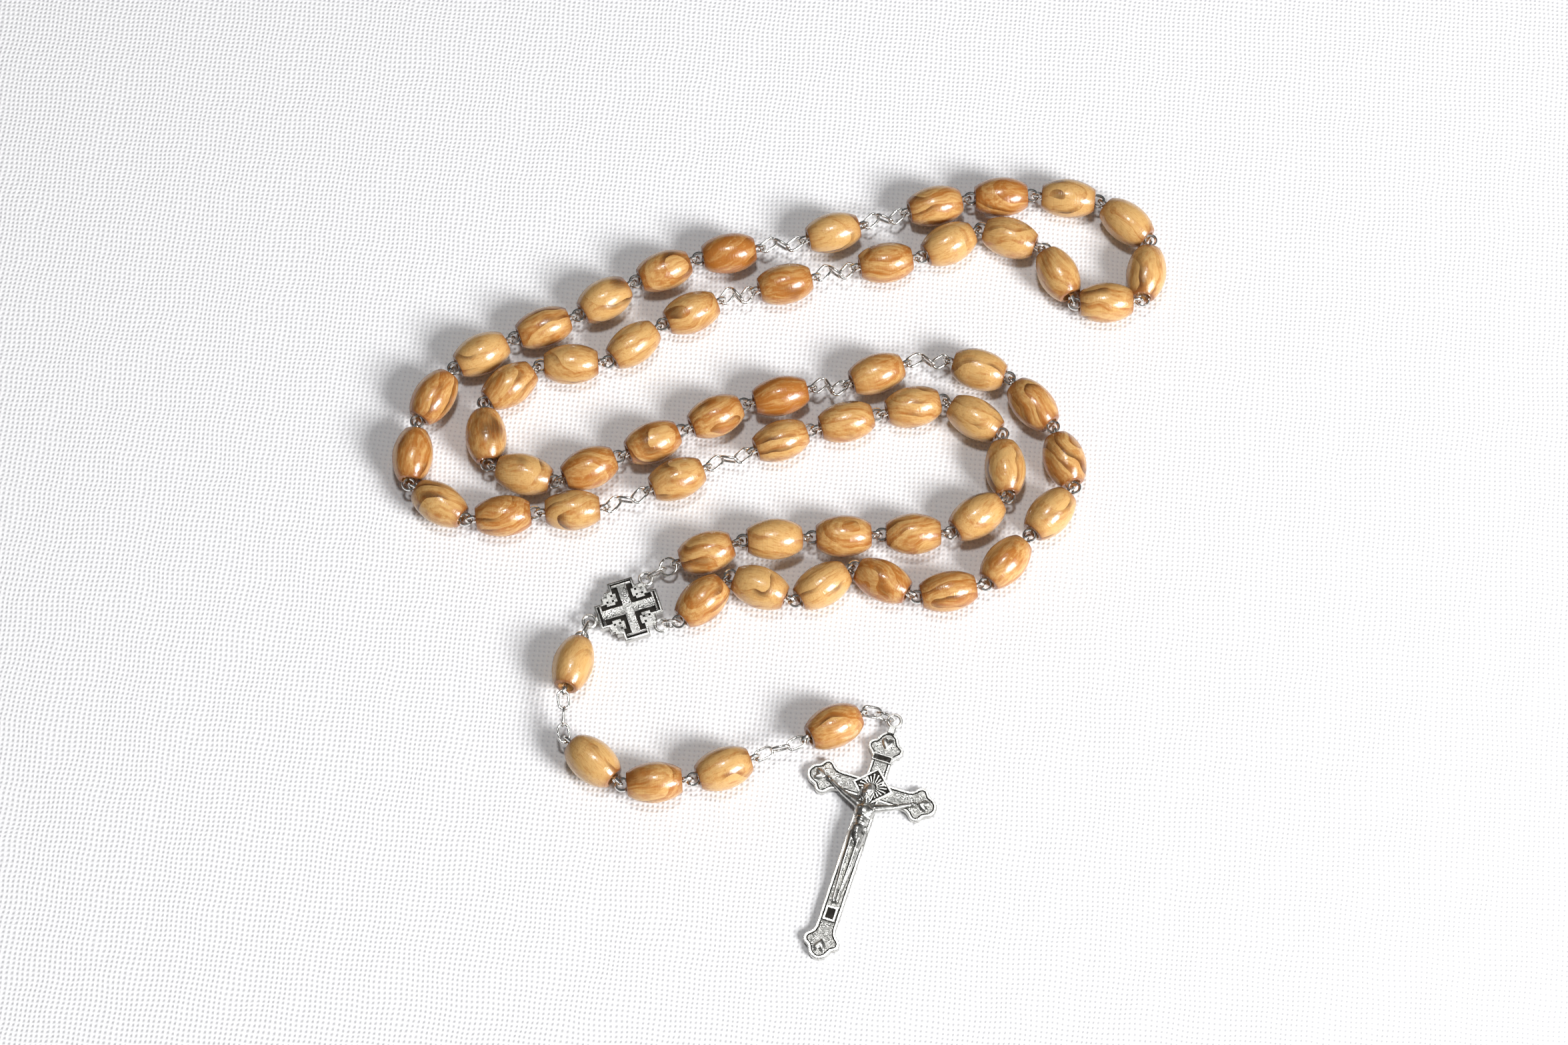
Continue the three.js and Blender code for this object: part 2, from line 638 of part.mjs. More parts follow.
const upperPivot = ringPivot(MEDAL_RING_ACROSS, MEDAL_RING_ACROSS, LOOP_ROUTE[0]);
const lowerPivot = ringPivot(MEDAL_RING_ACROSS, -MEDAL_RING_ACROSS, LOOP_ROUTE.at(-1));
const loop = loopStretches();

// The loop is opened at one pivot, after the first two beads of the third decade.
const openAt = 1 + loop.findIndex((stretch) => stretch.open);
const upperArm = settle(loop.slice(0, openAt));
const lowerArm = settle(loop.slice(openAt).reverse());
lowerArm.forEach((stretch) => stretch.spans.reverse());
const loopPivots = closedPivots([upperPivot, ...LOOP_ROUTE, lowerPivot], loop);
lowerArm.forEach((stretch) => stretch.spans.reverse());
strand(loopPivots, upperArm);
strand([...loopPivots].reverse(), lowerArm);

const pendant = settle(pendantStretches());
const pendantPivot = ringPivot(-MEDAL_RING_BELOW, 0, PENDANT_ROUTE[0]);
const pendantPivots = closedPivots([pendantPivot, ...PENDANT_ROUTE], pendant);
const lastRing = strand(pendantPivots, pendant);

// The crucifix swings about the upright wire of its jump ring, which passes its flat ring.
const crucifixTurn = new THREE.Matrix4().makeRotationZ(CRUCIFIX_HEADING - Math.PI / 2);
const ringAlong = new THREE.Vector3().setFromMatrixColumn(lastRing.far, 0).setZ(0).normalize();
const wirePoint = new THREE.Vector3().setFromMatrixPosition(lastRing.far);
const ringCentre = wirePoint.clone().addScaledVector(ringAlong, BAIL_RADIUS - SPACING).setZ(0);
const crucifixPlace = crucifixTurn.setPosition(ringCentre);
const cross = named('crucifix', { geometry: crucifix(), place: crucifixPlace }, antique);
hang(lastRing.end, cross, new THREE.Matrix4().makeRotationX(Math.PI / 2).setPosition(wirePoint));

// The origin is on the table, under the middle of everything.
const box = new THREE.Box3().setFromObject(rosary, true);
const middle = box.getCenter(new THREE.Vector3());
rosary.position.set(-middle.x, -middle.y, -box.min.z);

export default rosary;
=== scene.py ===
import json
import math
import random

import bmesh
import bpy
from bmesh.types import BMEdge, BMFace, BMVert
from mathutils import Matrix, Vector, noise

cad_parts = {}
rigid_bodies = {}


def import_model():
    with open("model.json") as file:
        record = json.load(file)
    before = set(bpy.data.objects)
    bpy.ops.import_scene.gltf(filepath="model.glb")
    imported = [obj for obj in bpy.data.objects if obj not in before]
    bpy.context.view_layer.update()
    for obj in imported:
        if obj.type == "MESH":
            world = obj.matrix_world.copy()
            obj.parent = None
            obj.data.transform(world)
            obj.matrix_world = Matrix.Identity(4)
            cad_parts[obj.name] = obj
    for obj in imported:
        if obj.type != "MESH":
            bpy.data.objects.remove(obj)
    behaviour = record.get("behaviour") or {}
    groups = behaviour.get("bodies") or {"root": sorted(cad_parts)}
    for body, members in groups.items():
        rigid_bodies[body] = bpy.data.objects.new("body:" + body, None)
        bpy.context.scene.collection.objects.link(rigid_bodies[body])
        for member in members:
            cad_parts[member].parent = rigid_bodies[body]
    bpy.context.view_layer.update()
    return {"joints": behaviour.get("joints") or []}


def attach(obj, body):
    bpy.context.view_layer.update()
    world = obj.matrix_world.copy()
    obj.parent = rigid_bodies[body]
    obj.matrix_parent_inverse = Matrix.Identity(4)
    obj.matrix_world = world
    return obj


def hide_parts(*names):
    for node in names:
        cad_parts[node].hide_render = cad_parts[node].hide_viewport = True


for leftover in list(bpy.data.objects):
    bpy.data.objects.remove(leftover)
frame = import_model()


# ---- how the strands lie ----
# A rosary is one loop of five decades of beads on wire eye pins, closed by a centre medal, and
# a short pendant that ends in a crucifix. Pins, links and rings hang in each other's eyes, and
# "upright" eyes take turns with flat ones. Here the run of every strand is worked out in
# millimetres, outwards from the medal, so that each piece knows its two pivots.

PIN_LENGTH = 12.9
EYE_RADIUS = 1.05
SPACING = 0.9
LINK_LENGTH = 3.3
MEDAL_LINK_LENGTH = 3.6
RING_DIAMETER = 3
CRUCIFIX_RING_LENGTH = 3.4
BAIL_RADIUS = 1.1
MEDAL_PLACE = Matrix.Translation((-26.6, -9.7, 1)) @ Matrix.Rotation(math.radians(18), 4, "Z")
MEDAL_BAIL_HEIGHT = 0.8
MEDAL_RINGS = {"upper": (4.5, 4.5), "lower": (4.5, -4.5), "pendant": (-7, 0)}

LOOP_ROUTE = [
    (-20.2, -2.2, 2.4), (-18.5, -1.5, 2.9), (-6.5, 2, 4.8), (5.5, 3, 3.7), (17.5, 3.5, 3.7),
    (29.5, 4, 3.7), (39, 11, 3.7), (38, 22.5, 3.7), (27.5, 29, 3.7), (15.5, 26, 3.7),
    (4, 23, 3.7), (-7.5, 18.5, 3.7), (-13.5, 16, 3.7), (-25.5, 11, 3.7), (-32, 8, 3.7),
    (-44.5, 7.5, 3.7), (-56, 6.5, 3.7), (-65.5, 14, 3.7), (-63.5, 26, 3.7), (-57, 36, 3.7),
    (-46.5, 41.4, 3.7), (-35, 46, 3.7), (-25.5, 52.5, 3.7), (-14, 57, 3.7), (-2.5, 59, 3.7),
    (4.5, 60.5, 3.7), (16.5, 64, 3.7), (23.5, 66.5, 3.7), (36, 69, 3.7), (47, 69, 3.7),
    (59, 67, 3.7), (66, 57.5, 3.7), (61.5, 46.5, 3.7), (50, 48.5, 3.7), (45.5, 59.5, 3.7),
    (34, 62.5, 3.7), (23.5, 56.5, 3.7), (10.5, 54.5, 3.7), (4.5, 52.5, 3.7), (-8, 49.5, 3.7),
    (-12.5, 47.5, 3.7), (-23.5, 42.5, 3.7), (-33, 35.2, 3.7), (-45, 35.2, 3.7), (-53, 27, 3.7),
    (-50.5, 15.5, 3.7), (-39, 13.5, 3.7), (-28, 18.5, 3.7), (-17, 23.5, 3.7), (-6, 28.5, 3.7),
    (6.5, 31.5, 3.7), (11, 32, 3.7), (23, 36.5, 3.7), (29.5, 36.5, 3.7), (40.5, 32.5, 3.7),
    (47.5, 22.5, 3.7), (50, 11, 3.7), (41.5, 2.5, 3.7), (33.5, -6.5, 3.7), (22, -8, 3.7),
    (11.5, -2.5, 3.7), (1.5, -9, 3.7), (-9.5, -4.5, 4.5), (-18, -12.5, 3.1),
]
PENDANT_ROUTE = [
    (-34.5, -15, 2.6), (-37.6, -27.6, 4.9), (-37.5, -29.5, 4.4), (-36.8, -34, 3.7),
    (-27.5, -42, 3.7), (-15.5, -41.2, 3.7), (-4.3, -37, 3.7), (2.4, -34.7, 4.3),
    (14, -28.8, 3.1), (15.4, -28.8, 2.8), (18.6, -29.8, 1.3),
]
CHAIN_LENGTHS = [9.2, 9, 8.8, 8.8, 8.2, 7.3, 7.3, 8.5]
PENDANT_CHAIN_LENGTHS = [8.2, 8.2]
DECADES = [[2] * 5, [2] * 5, [2, 2, 3, 3], [2] * 5, [2] * 5]  # beads to each body
OPENED = (3, 1)  # decade and first bead of the body whose far eye ends one arm of the loop
ROUTE_STEPS = 16  # from each of a route's points to the next
OVERRUN = 40  # straight on, past the last point
HALVINGS = 30  # when a pivot is looked for
SLACK_ROUNDS = 40


def strand_frame(point, along):
    """X along the strand and Y level, at a point."""
    x = along.normalized()
    y = Vector((0, 0, 1)).cross(x).normalized()
    return Matrix.Translation(point) @ Matrix((x, y, x.cross(y))).transposed().to_4x4()


def between(start, end):
    return strand_frame(start, end - start)


def level(along):
    """The level direction of a vector."""
    return Vector((along.x, along.y, 0)).normalized()


def reach(upright):
    """How far a loop's end wire passes the pivot."""
    return 0 if upright else SPACING


def single(name, kind, length):
    return {"name": name, "kind": kind, "lengths": [length], "one_way": True}


def pin_stretch(bead):
    return {"name": f"{bead}_pin", "kind": "pin", "bead": bead, "lengths": [PIN_LENGTH]}


def loop_stretches():
    """Everything in the loop, in order from the medal's upper ring round to its lower one."""
    made = [single("medal_link", "oval", MEDAL_LINK_LENGTH)]
    made.append(single("medal_upper_jump_ring", "ring", RING_DIAMETER))
    for d, groups in enumerate(DECADES):
        first = 1
        for count in groups:
            name = f"decade_{d + 1}_beads_{first}_{first + count - 1}"
            made.append({"name": name, "kind": "group", "decade": d + 1, "first": first,
                         "lengths": [PIN_LENGTH] * count, "opened": (d + 1, first) == OPENED})
            first += count
        if d < len(DECADES) - 1:
            made.append(single(f"chain_{2 * d + 1}", "chain", CHAIN_LENGTHS[2 * d]))
            made.append(pin_stretch(f"our_father_bead_{d + 1}"))
            made.append(single(f"chain_{2 * d + 2}", "chain", CHAIN_LENGTHS[2 * d + 1]))
    made.append(single("medal_lower_jump_ring", "ring", RING_DIAMETER))
    return made


def pendant_stretches():
    first_chain, second_chain = PENDANT_CHAIN_LENGTHS
    return [
        single("pendant_link", "oval", LINK_LENGTH),
        pin_stretch("pendant_bead_1"),
        single("pendant_chain_1", "chain", first_chain),
        pin_stretch("pendant_bead_2"),
        pin_stretch("pendant_bead_3"),
        pin_stretch("pendant_bead_4"),
        single("pendant_chain_2", "chain", second_chain),
        pin_stretch("pendant_bead_5"),
        single("crucifix_link", "oval", LINK_LENGTH),
        single("crucifix_jump_ring", "ring", CRUCIFIX_RING_LENGTH),
    ]


def settle(stretches):
    """Which end loops are upright, outwards from the medal, and how far apart pivots are."""
    far_upright = False
    for stretch in stretches:
        near_upright = not far_upright
        far_upright = near_upright if stretch.get("one_way") else not stretch.get("opened")
        stretch["near_upright"], stretch["far_upright"] = near_upright, far_upright
        spans = list(stretch["lengths"])
        spans[0] -= reach(near_upright)
        spans[-1] -= reach(far_upright)
        for i in range(1, len(spans)):
            spans[i] -= SPACING
        stretch["spans"] = spans
    return stretches


def route_samples(route):
    """A smooth curve through the route's points, in short steps, and a straight overrun."""
    points = [Vector(point) for point in route]
    guides = [2 * points[0] - points[1], *points, 2 * points[-1] - points[-2]]
    samples = [points[0]]
    for a, b, c, d in zip(guides, guides[1:], guides[2:], guides[3:]):
        leaving, arriving = (c - a) / 2, (d - b) / 2
        bend = 3 * (c - b) - 2 * leaving - arriving
        twist = 2 * (b - c) + leaving + arriving
        for step in range(1, ROUTE_STEPS + 1):
            t = step / ROUTE_STEPS
            samples.append(b + leaving * t + bend * t ** 2 + twist * t ** 3)
    overrun = (samples[-1] - samples[-2]).normalized() * OVERRUN
    return samples + [samples[-1] + overrun]


def walk(samples, spans):
    """Pivots along the samples at these straight spans, and how much of the route is left."""
    pivots = [samples[0]]
    segment = 0
    for span in spans:
        start = pivots[-1]
        while (samples[segment + 1] - start).length < span:
            segment += 1
        inside = segment == 0 or (samples[segment] - start).length < span
        near = samples[segment] if inside else start
        low, high = 0.0, 1.0
        for _ in range(HALVINGS):
            middle = (low + high) / 2
            if (near.lerp(samples[segment + 1], middle) - start).length < span:
                low = middle
            else:
                high = middle
        pivots.append(near.lerp(samples[segment + 1], low))
    gap = samples[-2] - pivots[-1]
    ahead = gap.dot(samples[-1] - samples[-2]) > 0
    return pivots, gap.length if ahead else -gap.length


def closed_pivots(route, stretches):
    """Every run of chain takes up an equal part of the slack, so both ends are met."""
    samples = route_samples(route)
    chains = sum(stretch["kind"] == "chain" for stretch in stretches)
    slack = 0
    for _ in range(SLACK_ROUNDS):
        spans = []
        for stretch in stretches:
            give = slack if stretch["kind"] == "chain" else 0
            spans += [span + give for span in stretch["spans"]]
        pivots, left = walk(samples, spans)
        slack += left / chains
    return pivots


def share_out(pivots, stretches):
    """Give each stretch its own pivots, in order."""
    at = 0
    for stretch in stretches:
        stretch["pivots"] = pivots[at:at + len(stretch["spans"]) + 1]
        at += len(stretch["spans"])


def ring_pivot(ring, towards):
    """The pivot in one of the medal's rings, for a strand that leaves towards a point."""
    x, y = MEDAL_RINGS[ring]
    centre = MEDAL_PLACE @ Vector((x, y, MEDAL_BAIL_HEIGHT))
    heading = Vector((*towards[:2], centre.z)) - centre
    return centre + heading.normalized() * (BAIL_RADIUS - SPACING)


loop = loop_stretches()
open_at = 1 + next(i for i, stretch in enumerate(loop) if stretch.get("opened"))
upper_arm = settle(loop[:open_at])
lower_arm = settle(loop[:open_at - 1:-1])
loop_route = [
    ring_pivot("upper", LOOP_ROUTE[0]), *LOOP_ROUTE, ring_pivot("lower", LOOP_ROUTE[-1])]
# The walk goes one way round and meets the lower arm's pieces from their far ends, so their
# spans are turned round for it, and back again afterwards.
for stretch in lower_arm:
    stretch["spans"].reverse()
    stretch["reversed"] = True
loop_pivots = closed_pivots(loop_route, loop)
for stretch in lower_arm:
    stretch["spans"].reverse()
share_out(loop_pivots, upper_arm)
share_out(loop_pivots[::-1], lower_arm)

pendant = settle(pendant_stretches())
pendant_route = [ring_pivot("pendant", PENDANT_ROUTE[0]), *PENDANT_ROUTE]
share_out(closed_pivots(pendant_route, pendant), pendant)
stretches = [*upper_arm, *lower_arm, *pendant]

# The strands were laid about their own origin in millimetres. The medal link's hinge says where
# that origin is in the frame, which is in metres.
first_hinge = next(j for j in frame["joints"] if j["name"] == "medal_link_lift")
hinge_drawn = loop_pivots[0] + level(loop_pivots[1] - loop_pivots[0]) * SPACING
shift = Vector(first_hinge["pos_m"]) * 1000 - hinge_drawn
TO_FRAME = Matrix.Scale(0.001, 4) @ Matrix.Translation(shift)


# ---- links, ovals and jump rings ----
# Bright silver-plated brass wire, drawn to half a millimetre and bent round a mandrel. The
# ovals and the links of the chain are closed up, and a jump ring keeps a hair of a cut where
# it was opened to hang it.

LINK_WIDTH = 1.8
LINK_WIRE = 0.25
LINK_CONTACT = 0.4
LINK_EASE = 0.11  # a chain link is this much shorter, so that its wire rests on its neighbour's
CUT_DEGREES = 6
ZIGZAG_LEAN = math.radians(8)
ZIGZAG_HALVINGS = 50
MIDLINE = 0.02  # wire nearer the middle of a loop than this stays when its ends are drawn out
SMOOTH_CORNER = 40  # degrees, up to which an edge is shaded smooth
SILVER = (0.86, 0.85, 0.82, 1)
LOOP_SIZES = {
    "medal_link": (MEDAL_LINK_LENGTH, LINK_WIDTH, 0),
    "pendant_link": (LINK_LENGTH, LINK_WIDTH, 0),
    "crucifix_link": (LINK_LENGTH, LINK_WIDTH, 0),
    "medal_upper_jump_ring": (RING_DIAMETER, RING_DIAMETER, CUT_DEGREES),
    "medal_lower_jump_ring": (RING_DIAMETER, RING_DIAMETER, CUT_DEGREES),
    "crucifix_jump_ring": (CRUCIFIX_RING_LENGTH, RING_DIAMETER, CUT_DEGREES),
}


def feed(made, sources):
    """Set or link a node's sockets."""
    for socket, source in sources.items():
        if isinstance(source, bpy.types.NodeSocket):
            made.id_data.links.new(source, made.inputs[socket])
        else:
            made.inputs[socket].default_value = source


def node(tree, kind, sources=None, **settings):
    """A shader node with its settings, and its sockets set or linked."""
    made = tree.nodes.new(kind)
    for key, value in settings.items():
        setattr(made, key, value)
    feed(made, sources or {})
    return made


def clouds(tree, place, scale, detail, **others):
    """The outputs of a soft noise."""
    sources = {"Vector": place, "Scale": scale, "Detail": detail, **others}
    return node(tree, "ShaderNodeTexNoise", sources).outputs


def reckon(tree, operation, *values, **settings):
    """The result of a sum."""
    sources = dict(enumerate(values))
    return node(tree, "ShaderNodeMath", sources, operation=operation, **settings).outputs[0]


def remap(tree, value, low, high, to_low=0.0, to_high=1.0, easing="LINEAR"):
    """A value, with the range from low to high carried over to another."""
    sources = {"Value": value, "From Min": low, "From Max": high,
               "To Min": to_low, "To Max": to_high}
    made = node(tree, "ShaderNodeMapRange", sources, interpolation_type=easing)
    return made.outputs["Result"]


def blend(tree, factor, first, second):
    """One colour fading into another. The mix node's colours are its sockets 6 and 7."""
    sources = {"Factor": factor, 6: first, 7: second}
    return node(tree, "ShaderNodeMix", sources, data_type="RGBA").outputs[2]


def relief_normal(tree, height, strength, depth):
    """The normal of a surface with fine unevenness, its depth in metres."""
    sources = {"Strength": strength, "Distance": depth, "Height": height}
    return node(tree, "ShaderNodeBump", sources).outputs["Normal"]


def object_place(tree):
    return node(tree, "ShaderNodeTexCoord").outputs["Object"]


def bare_finish(name):
    """A material with only its Principled shader."""
    finish = bpy.data.materials.new(name)
    finish.use_nodes = True
    return finish, finish.node_tree, finish.node_tree.nodes["Principled BSDF"]


def handling_marks():
    """Cloudy wear and fine scuffs on metal, over Object coordinates in metres."""
    group = bpy.data.node_groups.new("handling_marks", "ShaderNodeTree")
    face = group.interface
    face.new_socket("Bright", in_out="INPUT", socket_type="NodeSocketFloat").default_value = 0.15
    face.new_socket("Dull", in_out="INPUT", socket_type="NodeSocketFloat").default_value = 0.35
    face.new_socket("Roughness", in_out="OUTPUT", socket_type="NodeSocketFloat")
    face.new_socket("Height", in_out="OUTPUT", socket_type="NodeSocketFloat")
    limits = node(group, "NodeGroupInput").outputs
    place = object_place(group)
    wear = clouds(group, place, 900.0, 3.0)["Fac"]
    scuffs = clouds(group, place, 5200.0, 2.0)["Fac"]
    roughness = remap(group, wear, 0.35, 0.7, limits["Bright"], limits["Dull"])
    node(group, "NodeGroupOutput", {"Roughness": roughness, "Height": scuffs})
    return group


def silver_wire():
    finish, tree, shader = bare_finish("bright_silver_wire")
    marks = node(tree, "ShaderNodeGroup", {"Bright": 0.12, "Dull": 0.3}, node_tree=marks_group)
    feed(shader, {"Base Color": SILVER, "Metallic": 1, "Roughness": marks.outputs["Roughness"],
                  "Normal": relief_normal(tree, marks.outputs["Height"], 0.25, 0.00002)})
    return finish


def put(bm, place, name, body, finish, corner=SMOOTH_CORNER):
    """Set a shape drawn in millimetres in its place, riding on a body and standing for it."""
    bmesh.ops.recalc_face_normals(bm, faces=bm.faces)
    bmesh.ops.transform(bm, matrix=TO_FRAME @ place, verts=bm.verts)
    mesh = bpy.data.meshes.new(name)
    bm.to_mesh(mesh)
    bm.free()
    mesh.materials.append(finish)
    mesh.shade_smooth()
    mesh.set_sharp_from_angle(angle=math.radians(corner))
    piece = bpy.data.objects.new(name, mesh)
    bpy.context.scene.collection.objects.link(piece)
    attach(piece, body)
    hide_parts(body)


def picked(geom, kind):
    """The vertices, edges or faces in what an operator gives back."""
    return [part for part in geom if isinstance(part, kind)]


def wire_section(bm, radius, sides=10):
    """A circle round the X axis at the origin: its vertices and its edges."""
    verts = bmesh.ops.create_circle(bm, segments=sides, radius=radius)["verts"]
    facing_x = Matrix.Rotation(math.pi / 2, 3, "Y")
    bmesh.ops.rotate(bm, verts=verts, cent=(0, 0, 0), matrix=facing_x)
    return verts, list(dict.fromkeys(edge for vert in verts for edge in vert.link_edges))


def wire_loop(bm, length, width, wire, cut=0, steps=32):
    """A level loop of wire round the origin, its length along X."""
    before = set(bm.verts)
    section, edges = wire_section(bm, wire)
    bmesh.ops.translate(bm, verts=section, vec=(0, width / 2, 0))
    turn = math.radians(360 - cut)
    spun = bmesh.ops.spin(
        bm, geom=section + edges, cent=(0, 0, 0), axis=(0, 0, 1), angle=turn, steps=steps,
        use_merge=cut == 0)
    if cut:
        bmesh.ops.edgeloop_fill(bm, edges=edges)
        bmesh.ops.edgeloop_fill(bm, edges=picked(spun["geom_last"], BMEdge))
    verts = [vert for vert in bm.verts if vert not in before]
    for side in (1, -1):
        end = [vert for vert in verts if side * vert.co.x > MIDLINE]
        bmesh.ops.translate(bm, verts=end, vec=(side * (length - width) / 2, 0, 0))
    return verts


def set_upright(bm, verts, upright):
    if upright:
        turn = Matrix.Rotation(math.pi / 2, 3, "X")
        bmesh.ops.rotate(bm, verts=verts, cent=(0, 0, 0), matrix=turn)


def zigzag(span, outer, middle):
    """The angles at which the three links of a slack run turn aside."""
    low, high = 0.0, math.asin(middle / (2 * outer))
    for _ in range(ZIGZAG_HALVINGS):
        outer_turn = (low + high) / 2
        middle_turn = math.asin(2 * outer * math.sin(outer_turn) / middle)
        reached = 2 * outer * math.cos(outer_turn) + middle * math.cos(middle_turn)
        if reached > span:
            low = outer_turn
        else:
            high = outer_turn
    return [outer_turn, -middle_turn, outer_turn]


def chain_links(stretch):
    """Where each link of a run lies, and whether it is upright."""
    start, end = stretch["pivots"]
    near_upright = stretch["near_upright"]
    outer = LINK_LENGTH - reach(near_upright) - LINK_CONTACT / 2
    middle = LINK_LENGTH - LINK_CONTACT
    lean_axis = Vector((0, -math.sin(ZIGZAG_LEAN), math.cos(ZIGZAG_LEAN)))
    run = between(start, end)
    point = Vector((0, 0, 0))
    for i, turn in enumerate(zigzag((end - start).length, outer, middle)):
        onward = Matrix.Rotation(turn, 3, lean_axis) @ Vector((1, 0, 0))
        following = point + onward * (middle if i == 1 else outer)
        passes = reach(near_upright) if i == 0 else LINK_CONTACT / 2
        centre = Matrix.Translation((LINK_LENGTH / 2 - passes, 0, 0))
        yield between(run @ point, run @ following) @ centre, near_upright != (i == 1)
        point = following


marks_group = handling_marks()
wire_finish = silver_wire()
for stretch in stretches:
    if stretch["name"] in LOOP_SIZES:
        length, width, cut = LOOP_SIZES[stretch["name"]]
        upright = stretch["near_upright"]
        bm = bmesh.new()
        set_upright(bm, wire_loop(bm, length, width, LINK_WIRE, cut), upright)
        centre = Matrix.Translation((length / 2 - reach(upright), 0, 0))
        place = between(*stretch["pivots"]) @ centre
        put(bm, place, stretch["name"] + "_wire", stretch["name"], wire_finish)
for stretch in stretches:
    if stretch["kind"] == "chain":
        for i, (place, upright) in enumerate(chain_links(stretch)):
            bm = bmesh.new()
            verts = wire_loop(bm, LINK_LENGTH - LINK_EASE, LINK_WIDTH, LINK_WIRE, steps=24)
            set_upright(bm, verts, upright)
            name = f"{stretch['name']}_link_{i + 1}"
            put(bm, place, name, stretch["name"], wire_finish)


# ---- eye pins ----
# Each bead hangs on its own piece of the same wire. Round-nosed pliers turn an eye at either
# end: the wire steps off its line, goes nearly all the way round, and its cut end stops
# against the neck.

PIN_WIRE = 0.28
NECK_RADIUS = 0.35  # of the bend where the wire leaves its line
NECK_START = math.asin(NECK_RADIUS / (EYE_RADIUS + NECK_RADIUS))
EYE_GAP = math.radians(29)  # from the line of the pin round to the cut end
HALVES_MEET = 0.002  # how near the two halves' sections are to be joined


def pin_half(bm, eye_centre, upright, backwards):
    """Half an eye pin, from the middle of the bead to the cut end of the eye."""
    before = set(bm.verts)
    _, edges = wire_section(bm, PIN_WIRE, 8)
    neck = eye_centre - (EYE_RADIUS + NECK_RADIUS) * math.cos(NECK_START)
    grown = bmesh.ops.extrude_edge_only(bm, edges=edges)["geom"]
    moved = picked(grown, BMVert)
    bmesh.ops.translate(bm, verts=moved, vec=(neck, 0, 0))
    ends = moved + [edge for edge in picked(grown, BMEdge)
                    if all(vert in moved for vert in edge.verts)]
    turned = bmesh.ops.spin(
        bm, geom=ends, cent=(neck, NECK_RADIUS, 0), axis=(0, 0, 1),
        angle=math.pi / 2 - NECK_START, steps=4)
    looped = bmesh.ops.spin(
        bm, geom=turned["geom_last"], cent=(eye_centre, 0, 0), axis=(0, 0, -1),
        angle=2 * math.pi - NECK_START - EYE_GAP, steps=22)
    bmesh.ops.edgeloop_fill(bm, edges=picked(looped["geom_last"], BMEdge))
    verts = [vert for vert in bm.verts if vert not in before]
    set_upright(bm, verts, upright)
    if backwards:
        turn = Matrix.Rotation(math.pi, 3, "Z")
        bmesh.ops.rotate(bm, verts=verts, cent=(0, 0, 0), matrix=turn)


def bead_runs():
    """Every bead: its name and bodies, where it lies and how its pin's eyes stand."""
    for stretch in stretches:
        pivots = stretch["pivots"]
        last = len(pivots) - 2
        for i in range(last + 1):
            if stretch["kind"] == "pin":
                name = wood = stretch["bead"]
            elif stretch["kind"] == "group":
                step = last - i if stretch.get("reversed") else i
                name = f"decade_{stretch['decade']}_bead_{stretch['first'] + step}"
                wood = stretch["name"]
            else:
                continue
            near = stretch["near_upright"] if i == 0 else False
            far = stretch["far_upright"] if i == last else True
            near_eye = EYE_RADIUS - reach(near)
            far_eye = (pivots[i + 1] - pivots[i]).length + reach(far) - EYE_RADIUS
            middle = Matrix.Translation(((near_eye + far_eye) / 2, 0, 0))
            yield {"name": name, "wood": wood, "pin": stretch["name"], "near": near, "far": far,
                   "half": (far_eye - near_eye) / 2,
                   "place": between(pivots[i], pivots[i + 1]) @ middle}


beads = list(bead_runs())
for bead in beads:
    bm = bmesh.new()
    pin_half(bm, bead["half"], bead["near"], True)
    pin_half(bm, bead["half"], bead["far"], False)
    bmesh.ops.remove_doubles(bm, verts=bm.verts, dist=HALVES_MEET)
    put(bm, bead["place"], bead["name"] + "_eye_pin", bead["pin"], wire_finish)


# ---- beads ----
# Turned from olive wood, bored end to end and dipped in clear lacquer. The grain runs more or
# less along the bead, honey coloured with darker growth lines that close into ovals on its
# side. The lacquer gathers amber at the rims, and no two beads are quite alike.

BEAD_LENGTH = 9.6
BEAD_RADIUS = 3.7
RIM_RADIUS = 2.05
LIP_STEP = 0.14  # from the rim in to the lip of the bore
MOUTH = [(0, 1.4), (0.35, 1.25), (1.2, 0.62)]  # depth from the end and radius
SIDE_SHARE = 0.985  # of the length, from rim to rim
OUTER_STATIONS = 20
BEAD_STEPS = 44
BEAD_CORNER = 50
UNEVEN = 0.022  # of the radius, at most
STAIN_DEPTH = 0.8
STAIN_FALL = 7  # how fast the stain fades from the rims
SEED = 59
HONEY = (0.66, 0.395, 0.145, 1)
AMBER = (0.42, 0.15, 0.026, 1)
DARK_LINE = (0.065, 0.022, 0.007, 1)
RIM_STAIN = (0.25, 0.072, 0.013, 1)


def attribute(tree, name):
    return node(tree, "ShaderNodeAttribute", attribute_name=name).outputs["Vector"]


def vector_sum(tree, operation, sources):
    """The result of a sum with vectors."""
    made = node(tree, "ShaderNodeVectorMath", sources, operation=operation)
    return made.outputs["Vector"]


def ring_waves(tree, place, scale, distortion, detail, detail_scale, profile):
    """Rings round the X axis."""
    sources = {"Vector": place, "Scale": scale, "Distortion": distortion, "Detail": detail,
               "Detail Scale": detail_scale}
    made = node(tree, "ShaderNodeTexWave", sources, wave_type="RINGS", rings_direction="X",
                wave_profile=profile)
    return made.outputs["Fac"]


